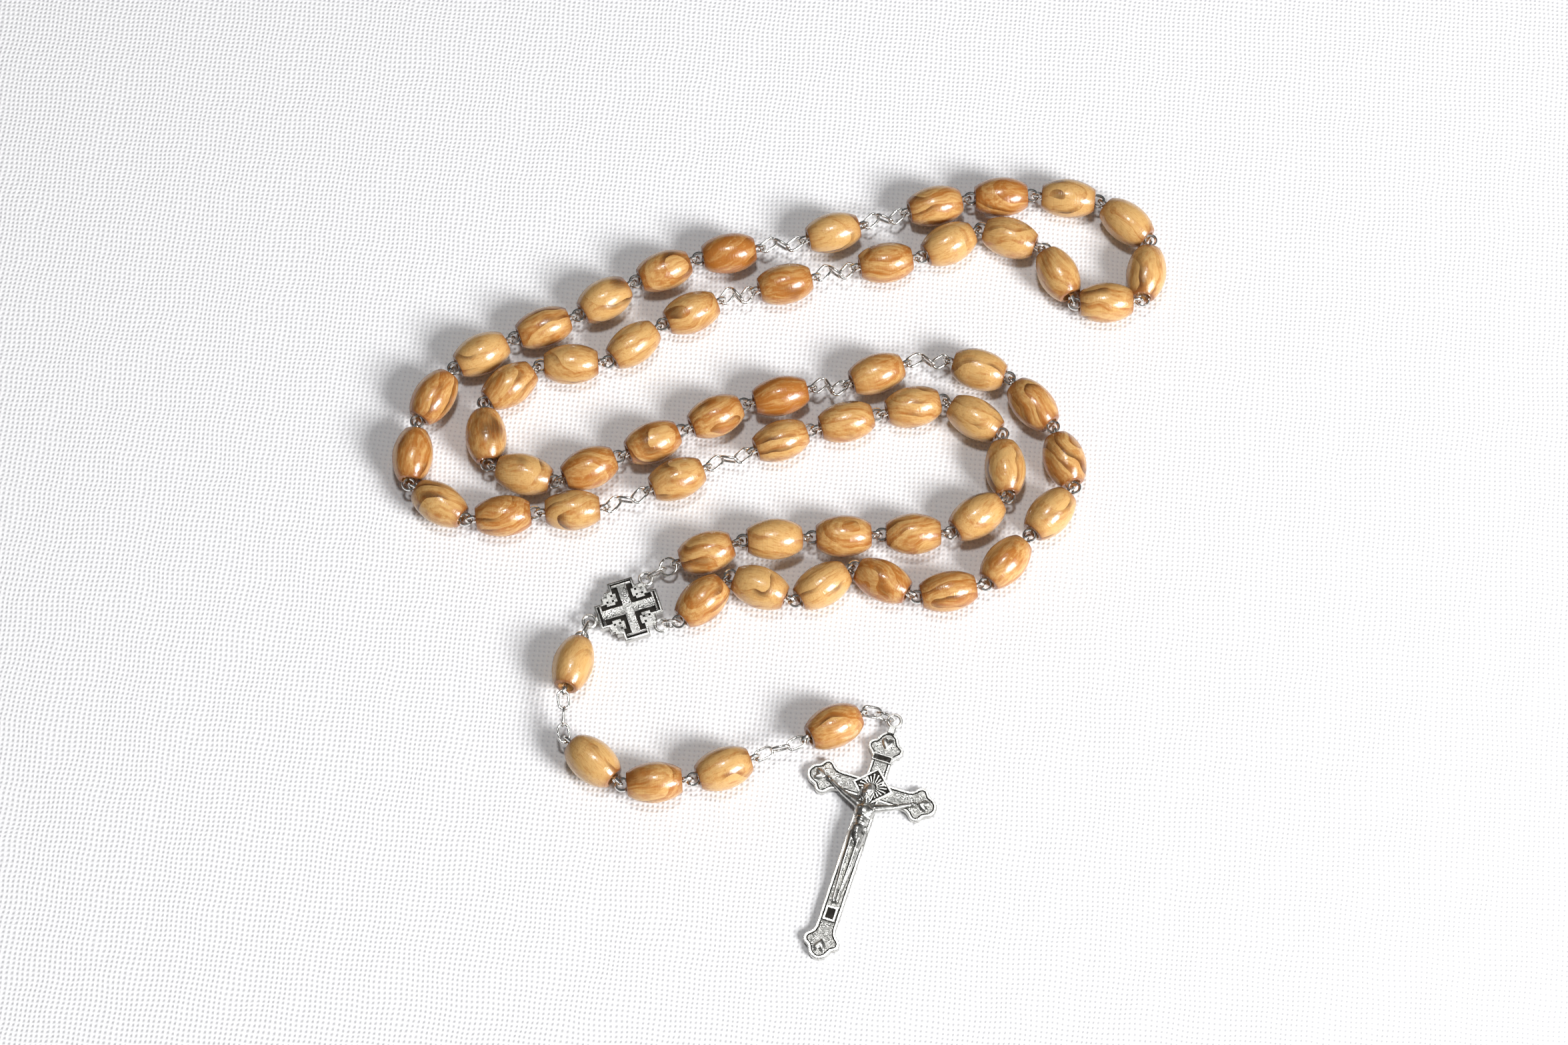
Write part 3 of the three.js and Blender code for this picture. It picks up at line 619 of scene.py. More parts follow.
def olive_wood():
    """Growth rings round a pith that lies outside the bead, fine pores, stain and lacquer.

    "figure" is the place in the plank, in millimetres with the grain along X. "traits" is the
    bead's tone, the nearness of a rim, and the place along the bead.
    """
    finish, tree, shader = bare_finish("lacquered_olive_wood")
    figure = attribute(tree, "figure")
    traits = node(tree, "ShaderNodeSeparateXYZ", {"Vector": attribute(tree, "traits")}).outputs
    tone, rim, along = traits["X"], traits["Y"], traits["Z"]

    drift = clouds(tree, figure, 0.16, 1.5)["Color"]
    drift = vector_sum(tree, "SUBTRACT", {0: drift, 1: (0.5, 0.5, 0.5)})
    drift = vector_sum(tree, "SCALE", {0: drift, "Scale": 4.0})
    bent = vector_sum(tree, "ADD", {0: figure, 1: drift})
    seasons = ring_waves(tree, bent, 0.13, 0.6, 1.0, 0.4, "SAW")
    years = ring_waves(tree, bent, 0.5, 1.0, 2.0, 0.8, "SIN")
    drawn_out = node(tree, "ShaderNodeMapping", {"Vector": bent, "Scale": (0.14, 1.0, 1.0)})
    fibres = clouds(tree, drawn_out.outputs["Vector"], 1.7, 5.0, Roughness=0.65)["Fac"]
    narrow = node(tree, "ShaderNodeMapping", {"Vector": figure, "Scale": (0.2, 1.7, 1.7)})
    pores = clouds(tree, narrow.outputs["Vector"], 3.5, 2.0)["Fac"]

    broad_bands = remap(tree, seasons, 0.15, 0.95, 0.0, 0.6)
    growth = reckon(tree, "MULTIPLY_ADD", years, 0.16, broad_bands)
    streaks = reckon(tree, "ADD", fibres, -0.5)
    streaked = reckon(tree, "MULTIPLY_ADD", streaks, 3.2, growth)
    colour = blend(tree, reckon(tree, "ADD", tone, streaked, use_clamp=True), HONEY, AMBER)
    late = remap(tree, seasons, 0.5, 0.98, easing="SMOOTHSTEP")
    here_and_there = clouds(tree, figure, 0.16, 1.0)["Fac"]
    here_and_there = remap(tree, here_and_there, 0.47, 0.72, easing="SMOOTHSTEP")
    line = reckon(tree, "MULTIPLY", reckon(tree, "MULTIPLY", late, here_and_there), 0.85)
    colour = blend(tree, line, colour, DARK_LINE)
    colour = blend(tree, remap(tree, pores, 0.52, 0.72, 0.0, 0.5), colour, AMBER)
    ragged = reckon(tree, "ADD", fibres, 0.5)
    stain = reckon(tree, "MULTIPLY", rim, ragged, use_clamp=True)
    colour = blend(tree, stain, colour, RIM_STAIN)

    turning = node(tree, "ShaderNodeTexNoise", {"W": along, "Scale": 5.0, "Detail": 3.0},
                   noise_dimensions="1D").outputs["Fac"]
    pooling = clouds(tree, figure, 1.1, 1.0)["Fac"]
    height = reckon(tree, "MULTIPLY_ADD", turning, 0.6, fibres)
    height = reckon(tree, "MULTIPLY_ADD", pooling, 2.2, height)
    feed(shader, {"Base Color": colour, "Normal": relief_normal(tree, height, 0.5, 0.00006),
                  "Roughness": remap(tree, fibres, 0.3, 0.75, 0.16, 0.34),
                  "IOR": 1.52, "Coat Weight": 0.35, "Coat Roughness": 0.06})
    return finish


def bead_profile(length, radius, fullness):
    """The outline of the wood as (distance along, radius) pairs, outside first, closed."""
    squash = 1 - (RIM_RADIUS / radius) ** 2
    outside = []
    for i in range(OUTER_STATIONS + 1):
        share = math.sin(math.pi * (i / OUTER_STATIONS - 0.5))
        height = radius * math.sqrt(1 - squash * abs(share) ** fullness)
        outside.append((share * length / 2 * SIDE_SHARE, height))
    inside = [(length / 2 - depth, height) for depth, height in MOUTH]
    half = [(length / 2, RIM_RADIUS - LIP_STEP), *inside]
    return outside + half + [(-x, height) for x, height in reversed(half)]


def turn_bead(profile):
    """A closed profile spun round the X axis."""
    bm = bmesh.new()
    corners = [bm.verts.new((x, height, 0)) for x, height in profile]
    for one, other in zip(corners, corners[1:] + corners[:1]):
        bm.edges.new((one, other))
    bmesh.ops.spin(bm, geom=bm.verts[:] + bm.edges[:], cent=(0, 0, 0), axis=(1, 0, 0),
                   angle=2 * math.pi, steps=BEAD_STEPS, use_merge=True)
    return bm


wood_finish = olive_wood()
dice = random.Random(SEED)
for bead in beads:
    length = BEAD_LENGTH * dice.uniform(0.97, 1)
    radius = BEAD_RADIUS * dice.uniform(0.955, 1)
    bm = turn_bead(bead_profile(length, radius, dice.uniform(1.7, 2.05)))
    figure = bm.verts.layers.float_vector.new("figure")
    traits = bm.verts.layers.float_vector.new("traits")
    roll = Matrix.Rotation(dice.uniform(0, 2 * math.pi), 3, "X")
    tilt = Matrix.Rotation(math.radians(dice.uniform(-24, 24)), 3, "Z")
    pith = Vector((dice.uniform(0, 400), dice.uniform(5, 15), dice.uniform(-2, 2)))
    tone = min(max(dice.gauss(-0.08, 0.28), -0.5), 0.6)
    elsewhere = Vector([dice.uniform(0, 90) for _ in range(3)])
    for vert in bm.verts:
        share = min(abs(vert.co.x) / (length / 2), 1)
        vert[figure] = tilt @ (roll @ vert.co) + pith
        vert[traits] = (tone, share ** STAIN_FALL * STAIN_DEPTH, vert.co.x + pith.x)
        if vert.co.yz.length > RIM_RADIUS * 1.05:
            worn = 0.5 + 0.5 * noise.noise(vert.co * 0.3 + elsewhere)
            vert.co.yz *= 1 - UNEVEN * worn
    put(bm, bead["place"], bead["name"] + "_wood", bead["wood"], wood_finish,
        BEAD_CORNER)


# ---- centre medal ----
# Cast in white metal, silvered, blackened and rubbed bright again, so that the black stays in
# the hollows. A cross with bars at its ends stands on a sunk ground inside a stepped rim,
# with four small crosses between its arms and three rings for the strands.

MEDAL_HALF = 5.55
MEDAL_SIDES = 1.15  # height up to where the rim rounds over
MEDAL_GROUND = 0.85
MEDAL_OUTLINE = [  # a quarter of it, as is the cross's
    (MEDAL_HALF, -2.25), (MEDAL_HALF, 2.25), (4.1, 2.25), (4.1, 3.2), (3.2, 3.2), (3.2, 4.1),
    (2.25, 4.1)]
BARRED_CROSS = [
    (4.85, -1.75), (4.85, 1.75), (4.4, 1.75), (4.4, 0.85), (0.85, 0.85), (0.85, 4.4),
    (1.75, 4.4)]
CROSSLET_OUT = 2.62  # from the medal's middle lines
CROSSLET_HALF = 1.22
CROSSLET_CELL = 2 * CROSSLET_HALF / 5
CROSSLET_FOOT, CROSSLET_TOP = 0.7, 1.38
BAIL_WIRE = 0.28
CAST_CORNER = 32
RUBBED = (0.56, 0.555, 0.53, 1)
BLACKENED = (0.035, 0.032, 0.028, 1)


def antique_silver():
    """Bright where it is rubbed, black in the hollows, and stippled where the die was.

    "relief" is how black and how stippled the casting is. On the figure, the black low down by the
    cross is painted shade as well as patina.
    """
    finish, tree, shader = bare_finish("antique_silver")
    relief = node(tree, "ShaderNodeSeparateXYZ", {"Vector": attribute(tree, "relief")}).outputs
    place = object_place(tree)
    blotches = reckon(tree, "ADD", clouds(tree, place, 1500.0, 4.0)["Fac"], -0.5)
    black = reckon(tree, "MULTIPLY_ADD", blotches, 0.7, relief["X"])
    black = remap(tree, black, 0.18, 0.8, easing="SMOOTHSTEP")
    marks = node(tree, "ShaderNodeGroup", {"Bright": 0.2, "Dull": 0.42}, node_tree=marks_group)
    stipple = node(tree, "ShaderNodeTexVoronoi", {"Vector": place, "Scale": 4500.0})
    stipple = reckon(tree, "MULTIPLY", stipple.outputs["Distance"], relief["Y"])
    height = reckon(tree, "MULTIPLY_ADD", stipple, 4.0, marks.outputs["Height"])
    feed(shader, {
        "Base Color": blend(tree, black, RUBBED, BLACKENED), "Metallic": 1,
        "Roughness": reckon(tree, "MULTIPLY_ADD", black, 0.25, marks.outputs["Roughness"]),
        "Normal": relief_normal(tree, height, 0.35, 0.00004)})
    return finish


def casting():
    bm = bmesh.new()
    bm.verts.layers.float_vector.new("relief")
    return bm


def raise_up(bm, faces, height):
    """Extrude faces straight up, and give back what has grown."""
    grown = bmesh.ops.extrude_face_region(bm, geom=faces)["geom"]
    bmesh.ops.translate(bm, verts=picked(grown, BMVert), vec=(0, 0, height))
    return grown


def slab(bm, outline, bottom, top, blackened_foot=True):
    """A slab with this outline. Its top face is given back, to be worked further."""
    relief = bm.verts.layers.float_vector["relief"]
    foot = [bm.verts.new((x, y, bottom)) for x, y in outline]
    grown = raise_up(bm, [bm.faces.new(foot)], top - bottom)
    face = picked(grown, BMFace)[0]
    if face.normal.z < 0:
        face.normal_flip()
    face.normal_update()
    for vert in foot:
        vert[relief] = (1.0 if blackened_foot else 0.0, 0, 0)
    for vert in picked(grown, BMVert):
        vert[relief] = (0, 0, 0)
    return face


def work(bm, face, *steps):
    """Inset a face step by step: how far in, how far up, how black and how stippled."""
    relief = bm.verts.layers.float_vector["relief"]
    for inwards, upwards, black, stipple in steps:
        bmesh.ops.inset_region(bm, faces=[face], thickness=inwards, depth=0,
                               use_even_offset=True, use_boundary=True)
        bmesh.ops.translate(bm, verts=face.verts, vec=(0, 0, upwards))
        for vert in face.verts:
            vert[relief] = (black, stipple, 0)


def fourfold(quarter):
    """A quarter of an outline, repeated round the origin."""
    outline = []
    for turn in range(4):
        quarter_turn = Matrix.Rotation(turn * math.pi / 2, 2)
        outline += [tuple(quarter_turn @ Vector(corner)) for corner in quarter]
    return outline


def absorb(bm, other):
    """Add another shape to this one."""
    passing = bpy.data.meshes.new("passing")
    other.to_mesh(passing)
    other.free()
    bm.from_mesh(passing)
    bpy.data.meshes.remove(passing)


def crosslet(x, y):
    """A small raised cross: five cells square, less its corners, with a black pit by each arm."""
    bm = casting()
    bmesh.ops.create_grid(bm, x_segments=5, y_segments=5, size=CROSSLET_HALF)
    bmesh.ops.translate(bm, verts=bm.verts, vec=(x, y, CROSSLET_FOOT))

    def cells_out(face):
        middle = face.calc_center_median()
        return sorted((abs(middle.x - x) / CROSSLET_CELL, abs(middle.y - y) / CROSSLET_CELL))

    corners = [face for face in bm.faces if cells_out(face)[0] > 1.5]
    bmesh.ops.delete(bm, geom=corners, context="FACES")
    raise_up(bm, bm.faces[:], CROSSLET_TOP - CROSSLET_FOOT)
    relief = bm.verts.layers.float_vector["relief"]
    for vert in bm.verts:
        vert[relief] = (0 if vert.co.z > 1 else 1, 0, 0)
    bm.normal_update()
    for face in bm.faces[:]:
        near, far = cells_out(face)
        on_top = face.calc_center_median().z > CROSSLET_TOP - 0.01
        if on_top and near > 0.5 and far < 1.5:
            work(bm, face, (0.05, 0, 0, 0), (0.05, -0.3, 1, 0))
    return bm


def cast_ring(bm, x, y, z):
    verts = wire_loop(bm, 2 * BAIL_RADIUS, 2 * BAIL_RADIUS, BAIL_WIRE)
    bmesh.ops.translate(bm, verts=verts, vec=(x, y, z))


def block(x, y, width, depth):
    """The outline of a square-cornered block about a point."""
    w, d = width / 2, depth / 2
    return [(x - w, y - d), (x + w, y - d), (x + w, y + d), (x - w, y + d)]


def lug(bm, x, y, width, depth, bottom, top):
    """A small bridge from a ring to the body of a casting."""
    work(bm, slab(bm, block(x, y, width, depth), bottom, top, False), (0.12, 0.08, 0, 0))


silver_finish = antique_silver()
bm = casting()
rim_top = MEDAL_SIDES + 0.09 + 0.04
work(bm, slab(bm, fourfold(MEDAL_OUTLINE), 0, MEDAL_SIDES, False),
     (0.05, 0.09, 0, 0), (0.07, 0.04, 0, 0), (0.26, 0, 0, 0), (0.06, MEDAL_GROUND - rim_top, 1, 0))
work(bm, slab(bm, fourfold(BARRED_CROSS), 0.6, 1.4),
     (0.04, 0.08, 0, 0), (0.05, 0.03, 0, 0.3), (0.06, -0.03, 0.1, 0.8))
for x in (CROSSLET_OUT, -CROSSLET_OUT):
    for y in (CROSSLET_OUT, -CROSSLET_OUT):
        absorb(bm, crosslet(x, y))
for x, y in MEDAL_RINGS.values():
    cast_ring(bm, x, y, MEDAL_BAIL_HEIGHT)
lug(bm, -5.65, 0, 0.7, 0.9, 0.5, 1.02)
lug(bm, 3.55, 3.55, 0.7, 0.7, 0.5, 1.0)
lug(bm, 3.55, -3.55, 0.7, 0.7, 0.5, 1.0)
put(bm, MEDAL_PLACE, "medal_casting", "centre_medal", silver_finish,
    CAST_CORNER)


# ---- crucifix ----
# A casting of the same metal. The cross has lobed ends with a small heart on each, a rim round
# a stippled ground, a diamond of rays behind the head, a plain plaque above it and a block
# under the feet.

CRUCIFIX_HEADING = math.radians(72)
ARMS = -12.9  # where the arms cross, from the ring
HALF_WIDTH = 1.75
LOBE_SIDE = [
    (1.75, -4.4), (1.78, -3.85), (1.93, -3.35), (2.25, -2.92), (2.68, -2.55), (2.98, -2.15),
    (3.1, -1.65), (3.02, -1.15), (2.74, -0.78), (2.32, -0.52), (2.0, -0.3), (1.82, 0.05),
    (1.62, 0.5), (1.3, 0.92), (0.88, 1.24), (0.45, 1.43),
]
LOBE_TIP = (0, 1.5)
LOBES = [((0, 9.5), 0), ((-9.9, 0), 90), ((0, -29.4), 180), ((9.9, 0), 270)]  # place and turn
HEART_SIDE = [
    (0.42, -1.6), (0.8, -1.1), (1.02, -0.6), (1.02, -0.17), (0.78, 0.11), (0.42, 0.13),
    (0.14, -0.07)]
HEART_POINT = (0, -2.0)
HEART_NOTCH = (0, -0.27)
DIAMOND = Vector((0, -12.4))
DIAMOND_HALF = 3.6
RAYS = 20
RAY_START = 0.6
RAY_FIELD = 2.8  # half the diagonal of the ground that the rays fill
PLAQUE = (0, -7.0, 3.4, 1.3)  # place, width and depth, as is the footrest's
FOOTREST = (0, -35.8, 2.1, 2.6)
CRUCIFIX_RING_HEIGHT = 1.3

last_pivot = pendant[-1]["pivots"][1]
ring_heading = level(last_pivot - pendant[-1]["pivots"][0])
ring_centre = last_pivot + ring_heading * (BAIL_RADIUS - SPACING)
CRUCIFIX_PLACE = (Matrix.Translation((ring_centre.x, ring_centre.y, 0))
                  @ Matrix.Rotation(CRUCIFIX_HEADING - math.pi / 2, 4, "Z"))


def mirrored(side):
    return [(-x, y) for x, y in reversed(side)]


def on_arm(points, offset, degrees):
    """Points drawn for an arm that points along +Y, moved to one of the four arms' ends."""
    turn = Matrix.Rotation(math.radians(degrees), 2)
    end = Vector((offset[0], ARMS + offset[1]))
    return [tuple(end + turn @ Vector(point)) for point in points]


def cross_outline():
    """Four lobes, with an inner corner of the cross after each."""
    outline = []
    for offset, degrees in LOBES:
        outline += on_arm([*LOBE_SIDE, LOBE_TIP, *mirrored(LOBE_SIDE)], offset, degrees)
        outline += on_arm([(-HALF_WIDTH, HALF_WIDTH)], (0, 0), degrees)
    return outline


def ray_outline(number):
    """A ray that widens from near the middle of the diamond nearly to its side."""
    angle = 2 * math.pi * (number + 0.5) / RAYS
    reached = RAY_FIELD / (abs(math.cos(angle)) + abs(math.sin(angle))) - 0.06
    ray = [(RAY_START, -0.06), (reached, -0.15), (reached, 0.15), (RAY_START, 0.06)]
    turn = Matrix.Rotation(angle, 2)
    return [tuple(DIAMOND + turn @ Vector(corner)) for corner in ray]


bm = casting()
work(bm, slab(bm, cross_outline(), 0, 1.0, False),
     (0.05, 0.1, 0, 0), (0.08, 0.06, 0, 0), (0.3, 0, 0, 0), (0.06, -0.22, 1, 0),
     (0.12, 0, 1, 0), (0.05, 0.12, 0.34, 0.8))
for offset, degrees in LOBES:
    heart = [HEART_POINT, *HEART_SIDE, HEART_NOTCH, *mirrored(HEART_SIDE)]
    work(bm, slab(bm, on_arm(heart, offset, degrees), 0.7, 1.25),
         (0.06, 0.14, 0, 0), (0.14, 0.12, 0, 0), (0.16, 0.06, 0, 0))
points = [(0, -DIAMOND_HALF), (DIAMOND_HALF, 0), (0, DIAMOND_HALF), (-DIAMOND_HALF, 0)]
work(bm, slab(bm, [tuple(DIAMOND + Vector(point)) for point in points], 0.6, 1.4),
     (0.06, 0.1, 0, 0), (0.3, 0, 0, 0), (0.06, -0.38, 1, 0))
for i in range(RAYS):
    work(bm, slab(bm, ray_outline(i), 1.0, 1.28), (0.03, 0.06, 0, 0))
work(bm, slab(bm, block(*PLAQUE), 0.6, 1.45),
     (0.06, 0.1, 0, 0), (0.12, 0, 0, 0), (0.05, -0.14, 0.75, 0.4))
work(bm, slab(bm, block(*FOOTREST), 0.6, 1.55),
     (0.06, 0.1, 0, 0), (0.28, 0, 0, 0), (0.08, -0.3, 1, 0))
cast_ring(bm, 0, 0, CRUCIFIX_RING_HEIGHT)
lug(bm, 0, -1.75, 1.2, 1.3, 0.75, 1.5)
put(bm, CRUCIFIX_PLACE, "crucifix_cross", "crucifix", silver_finish,
    CAST_CORNER)


# ---- the figure on the crucifix ----
# Cast in one with the cross: a slight body with outstretched arms, a folded loincloth, and a
# small head bowed to one side with long hair and a beard, its face calm and plain. Rounded
# forms are run together into one skin, and black is left wherever that skin is hollow.

FIGURE_SKIN = 0.085  # size of the skin's mesh
FIGURE_FOOT = 0.8  # height in the cross below which there is no skin
FIGURE_CORNER = 60
HOLLOW_BLACK = 5  # how fast a hollow turns black
SHADE_AND_PATINA_HEIGHT, SHADE_AND_PATINA_FALL = 1.6, 1.8  # height at which painted shade and patina start to darken the skin near the cross, and how fast
HEAD_PLACE = (-0.5, -13.6, 2.35)
HEAD_LEAN = math.radians(-10)


def round_form(bm, centre, radii, lean=0):
    place = (Matrix.Translation(centre) @ Matrix.Rotation(math.radians(lean), 4, "Z")
             @ Matrix.Diagonal((*radii, 1)))
    bmesh.ops.create_uvsphere(bm, u_segments=20, v_segments=14, radius=1, matrix=place)


def limb(bm, start, end, start_radius, end_radius):
    """A tapered limb with rounded ends."""
    a, b = Vector(start), Vector(end)
    turn = (b - a).to_track_quat("Z", "Y").to_matrix().to_4x4()
    bmesh.ops.create_cone(
        bm, cap_ends=True, segments=16, radius1=start_radius, radius2=end_radius,
        depth=(b - a).length, matrix=Matrix.Translation((a + b) / 2) @ turn)
    round_form(bm, a, [start_radius] * 3)
    round_form(bm, b, [end_radius] * 3)


def trunk_and_cloth(bm):
    """Chest, waist, shoulders, neck and belly, and the loincloth with its folds and end."""
    round_form(bm, (0, -17.2, 1.75), (1.75, 1.6, 1.35))
    round_form(bm, (0, -18.9, 1.75), (1.3, 1.5, 1.25))
    limb(bm, (-1.35, -16.3, 1.8), (1.35, -16.3, 1.8), 0.8, 0.8)
    limb(bm, (-0.35, -14.7, 2.1), (0, -16.1, 2.0), 0.5, 0.6)
    round_form(bm, (0, -19.3, 2.3), (0.95, 0.75, 0.72))
    limb(bm, (-0.15, -20.5, 1.8), (0.1, -22.1, 1.75), 1.35, 1.3)
    for fold in range(4):
        down = -20.1 - 0.62 * fold
        limb(bm, (-1.3, down + 0.25, 2.3), (-0.15, down - 0.2, 3.0), 0.12, 0.15)
        limb(bm, (-0.15, down - 0.2, 3.0), (1.3, down - 0.05, 2.25), 0.15, 0.1)
    limb(bm, (1.2, -20.0, 2.2), (1.45, -22.6, 1.9), 0.3, 0.22)


def arm_leg_and_ribs(bm, side):
    round_form(bm, (0.75 * side, -16.9, 2.45), (0.75, 0.6, 0.5))
    for rib in range(4):
        down = -17.65 - 0.42 * rib
        limb(bm, (0.12 * side, down + 0.1, 2.88), (1.25 * side, down - 0.14, 2.25), 0.13, 0.1)
    elbow = (4.3 * side, -15.0, 1.75)
    limb(bm, (1.5 * side, -16.2, 1.9), elbow, 0.78, 0.52)
    limb(bm, elbow, (6.75 * side, -13.65, 1.6), 0.52, 0.33)
    round_form(bm, (7.35 * side, -13.3, 1.55), (0.55, 0.42, 0.3), 25 * side)
    for finger in range(4):
        tip = (7.95 * side, -13.45 + 0.2 * finger, 1.62)
        limb(bm, (7.4 * side, -13.45 + 0.14 * finger, 1.65), tip, 0.12, 0.09)
    knee = (0.6 * side, -24.0, 2.2)
    calf = (0.58 * side, -26.8, 1.95)
    ankle = (0.36 * side, -31.3, 1.75)
    limb(bm, (0.62 * side, -21.4, 1.9), knee, 0.95, 0.68)
    limb(bm, knee, calf, 0.66, 0.64)
    limb(bm, calf, ankle, 0.64, 0.36)
    limb(bm, ankle, (0.3 * side, -33.5, 1.7), 0.36, 0.34)


def head():
    """A head looking up along Z with its crown towards +Y, bowed and set in its place."""
    bm = bmesh.new()
    round_form(bm, (0, 0, 0), (0.92, 1.3, 0.95))
    round_form(bm, (0, 0.35, -0.2), (1.12, 1.2, 0.85))
    limb(bm, (0, 0.12, 0.9), (0, -0.3, 1.06), 0.09, 0.14)
    limb(bm, (0, -0.85, 0.72), (0, -1.45, 0.5), 0.42, 0.2)
    limb(bm, (-0.18, -0.62, 0.84), (0.18, -0.62, 0.84), 0.08, 0.08)
    for side in (1, -1):
        limb(bm, (0.14 * side, 0.2, 0.86), (0.52 * side, 0.16, 0.72), 0.09, 0.08)
        round_form(bm, (0.34 * side, -0.03, 0.74), (0.15, 0.09, 0.12))
        round_form(bm, (0.45 * side, -0.35, 0.58), (0.25, 0.25, 0.22))
        for lock in range(3):
            out = (0.82 + 0.14 * lock) * side
            limb(bm, (out, 0.6 - 0.35 * lock, 0.25), (out * 1.02, -1.25 - 0.1 * lock, 0.0),
                 0.2, 0.13)
    for band in range(4):
        up = 0.5 + 0.2 * band
        wide = 0.95 - 0.16 * band
        crown = (0, up, 0.82 - 0.12 * band)
        limb(bm, (-wide, up - 0.1, 0.3), crown, 0.1, 0.1)
        limb(bm, crown, (wide, up - 0.1, 0.3), 0.1, 0.1)
    bowed = Matrix.Translation(HEAD_PLACE) @ Matrix.Rotation(HEAD_LEAN, 4, "Z")
    bmesh.ops.transform(bm, matrix=bowed, verts=bm.verts)
    return bm


def one_skin(forms):
    """Overlapping forms run together, and cut off level inside the cross."""
    mesh = bpy.data.meshes.new("forms")
    forms.to_mesh(mesh)
    forms.free()
    rough = bpy.data.objects.new("forms", mesh)
    bpy.context.scene.collection.objects.link(rough)
    skin = rough.modifiers.new("skin", "REMESH")
    skin.mode = "VOXEL"
    skin.voxel_size = FIGURE_SKIN
    eased = rough.modifiers.new("eased", "SMOOTH")
    eased.factor = 0.5
    eased.iterations = 2
    bm = bmesh.new()
    bm.from_object(rough, bpy.context.evaluated_depsgraph_get())
    bpy.data.objects.remove(rough)
    bpy.data.meshes.remove(mesh)
    sunk = [vert for vert in bm.verts if vert.co.z < FIGURE_FOOT]
    bmesh.ops.delete(bm, geom=sunk, context="VERTS")
    bmesh.ops.holes_fill(bm, edges=[edge for edge in bm.edges if edge.is_boundary])
    return bm


def blacken_hollows_and_shade_by_cross(bm):
    """Write the relief attribute from how hollow the skin is, and how near the cross: black in the
    hollows, and painted shade with black low down by the cross.
    """
    relief = bm.verts.layers.float_vector.new("relief")
    bm.normal_update()
    hollow = {}
    for vert in bm.verts:
        lifts = [(edge.other_vert(vert).co - vert.co).normalized().dot(vert.normal)
                 for edge in vert.link_edges]
        hollow[vert] = sum(lifts) / len(lifts)
    for _ in range(2):
        hollow = {
            vert: (2 * value + sum(hollow[edge.other_vert(vert)] for edge in vert.link_edges))
            / (2 + len(vert.link_edges)) for vert, value in hollow.items()}
    for vert, value in hollow.items():
        # painted shade along with patina: the skin darkens as it comes down to the cross
        low = (SHADE_AND_PATINA_HEIGHT - vert.co.z) * SHADE_AND_PATINA_FALL
        vert[relief] = (min(max(value * HOLLOW_BLACK, low, 0), 1), 0, 0)


forms = bmesh.new()
trunk_and_cloth(forms)
arm_leg_and_ribs(forms, 1)
arm_leg_and_ribs(forms, -1)
absorb(forms, head())
figure_bm = one_skin(forms)
blacken_hollows_and_shade_by_cross(figure_bm)
put(figure_bm, CRUCIFIX_PLACE, "crucifix_figure", "crucifix", silver_finish,
    FIGURE_CORNER)


# ---- the cloth under it ----
# A sheet of plain white cotton canvas, laid flat. Its threads cross a little under a
# millimetre apart, and tiny gaps show between them.

CLOTH_HALF = 1.5
THREAD = 0.00086
THREAD_SWAY = 0.0016
WEAVE_TURN = 0.1
CLOTH = (0.93, 0.93, 0.945, 1)
# painted shade: the grey given to the gaps between threads
GAP_SHADE = (0.66, 0.65, 0.71, 1)


def threads(tree, place, direction):
    """Bands across one direction. A band texture of scale 1 repeats every 0.31416 metres."""
    made = node(tree, "ShaderNodeTexWave", {"Vector": place, "Scale": 0.31416 / THREAD},
                bands_direction=direction)
    return made.outputs["Fac"]


def white_canvas():
    finish, tree, shader = bare_finish("white_canvas")
    place = object_place(tree)
    sway = clouds(tree, place, 90.0, 2.0)["Color"]
    sway = vector_sum(tree, "SCALE", {0: sway, "Scale": THREAD_SWAY})
    swayed = vector_sum(tree, "ADD", {0: place, 1: sway})
    weave = node(tree, "ShaderNodeMapping", {"Vector": swayed, "Rotation": (0, 0, WEAVE_TURN)})
    weave = weave.outputs["Vector"]
    both = reckon(tree, "MULTIPLY", threads(tree, weave, "X"), threads(tree, weave, "Y"))
    slubs = reckon(tree, "MULTIPLY", clouds(tree, swayed, 700.0, 2.0)["Fac"], 0.6)
    height = reckon(tree, "SUBTRACT", slubs, both)
    # painted shade in the gaps, where the threads dip
    gap_shade = remap(tree, both, 0.6, 1.0, 0.0, 0.75)
    feed(shader, {"Base Color": blend(tree, gap_shade, CLOTH, GAP_SHADE), "Roughness": 0.9,
                  "Specular IOR Level": 0.2,
                  "Normal": relief_normal(tree, height, 0.5, 0.00025)})
    return finish


bm = bmesh.new()
bmesh.ops.create_grid(bm, x_segments=8, y_segments=8, size=CLOTH_HALF)
cloth_mesh = bpy.data.meshes.new("cloth")
bm.to_mesh(cloth_mesh)
bm.free()
cloth_mesh.materials.append(white_canvas())
cloth = bpy.data.objects.new("cloth", cloth_mesh)
bpy.context.scene.collection.objects.link(cloth)


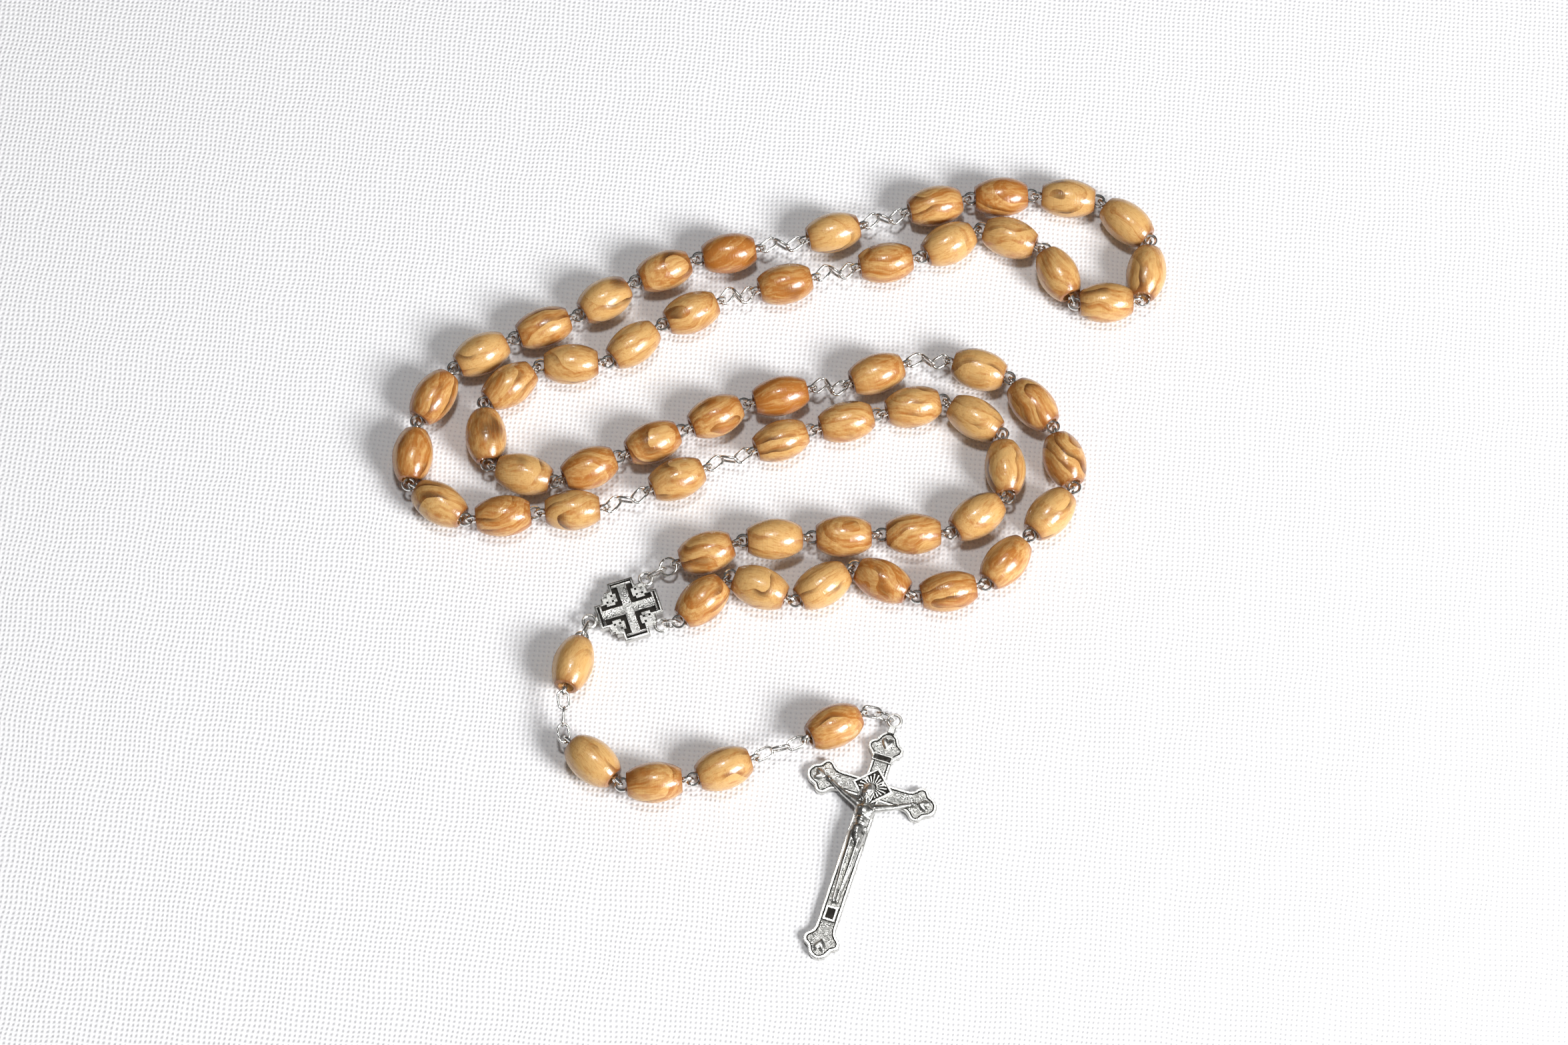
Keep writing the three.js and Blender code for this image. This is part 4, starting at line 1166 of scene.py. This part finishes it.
# ---- light and camera ----
# A bright, even studio: a broad window-like light at the right and in front, a small round
# lamp overhead, and white all round. The camera looks down steeply from the front.

FROM_FRONT = Vector((0.45, -0.75, 0.48)).normalized()  # where most of the light comes from
BRIGHT_SIDE = 2.75
DIM_SIDE = 0.35
CAMERA_ELEVATION = math.radians(67)
CAMERA_DISTANCE = 0.6897
CAMERA_LENS = 91.84
SENSOR_WIDTH = 36
AIM = (Vector((0.02, 5.74, 3.7)) + shift) * 0.001


def lamp(name, kind, spot, strength, size):
    """An area lamp at a spot reckoned from what the camera is aimed at, and turned to it."""
    data = bpy.data.lights.new(name, "AREA")
    data.shape = kind
    data.size = size
    data.energy = strength
    made = bpy.data.objects.new(name, data)
    made.location = AIM + Vector(spot)
    made.rotation_mode = "QUATERNION"
    made.rotation_quaternion = (-Vector(spot)).to_track_quat("-Z", "Y")
    bpy.context.scene.collection.objects.link(made)


lamp("window", "SQUARE", (0.75, -0.55, 0.62), 18, 0.42)
lamp("overhead", "DISK", (-0.02, 0.10, 0.9), 2.4, 0.12)

world = bpy.data.worlds.new("studio")
world.use_nodes = True
sky = node(world.node_tree, "ShaderNodeTexCoord").outputs["Generated"]
sky = node(world.node_tree, "ShaderNodeVectorMath", {0: sky, 1: FROM_FRONT},
           operation="DOT_PRODUCT").outputs["Value"]
sky = remap(world.node_tree, sky, -1.0, 1.0, DIM_SIDE, BRIGHT_SIDE)
feed(world.node_tree.nodes["Background"], {"Strength": sky})
bpy.context.scene.world = world

camera_data = bpy.data.cameras.new("camera")
camera_data.lens = CAMERA_LENS
camera_data.sensor_width = SENSOR_WIDTH
camera_data.clip_start = 0.01
camera = bpy.data.objects.new("camera", camera_data)
looking = Vector((0, math.cos(CAMERA_ELEVATION), -math.sin(CAMERA_ELEVATION)))
camera.location = AIM - looking * CAMERA_DISTANCE
camera.rotation_mode = "QUATERNION"
camera.rotation_quaternion = looking.to_track_quat("-Z", "Y")
bpy.context.scene.collection.objects.link(camera)
bpy.context.scene.camera = camera
bpy.context.scene.view_settings.view_transform = "Standard"
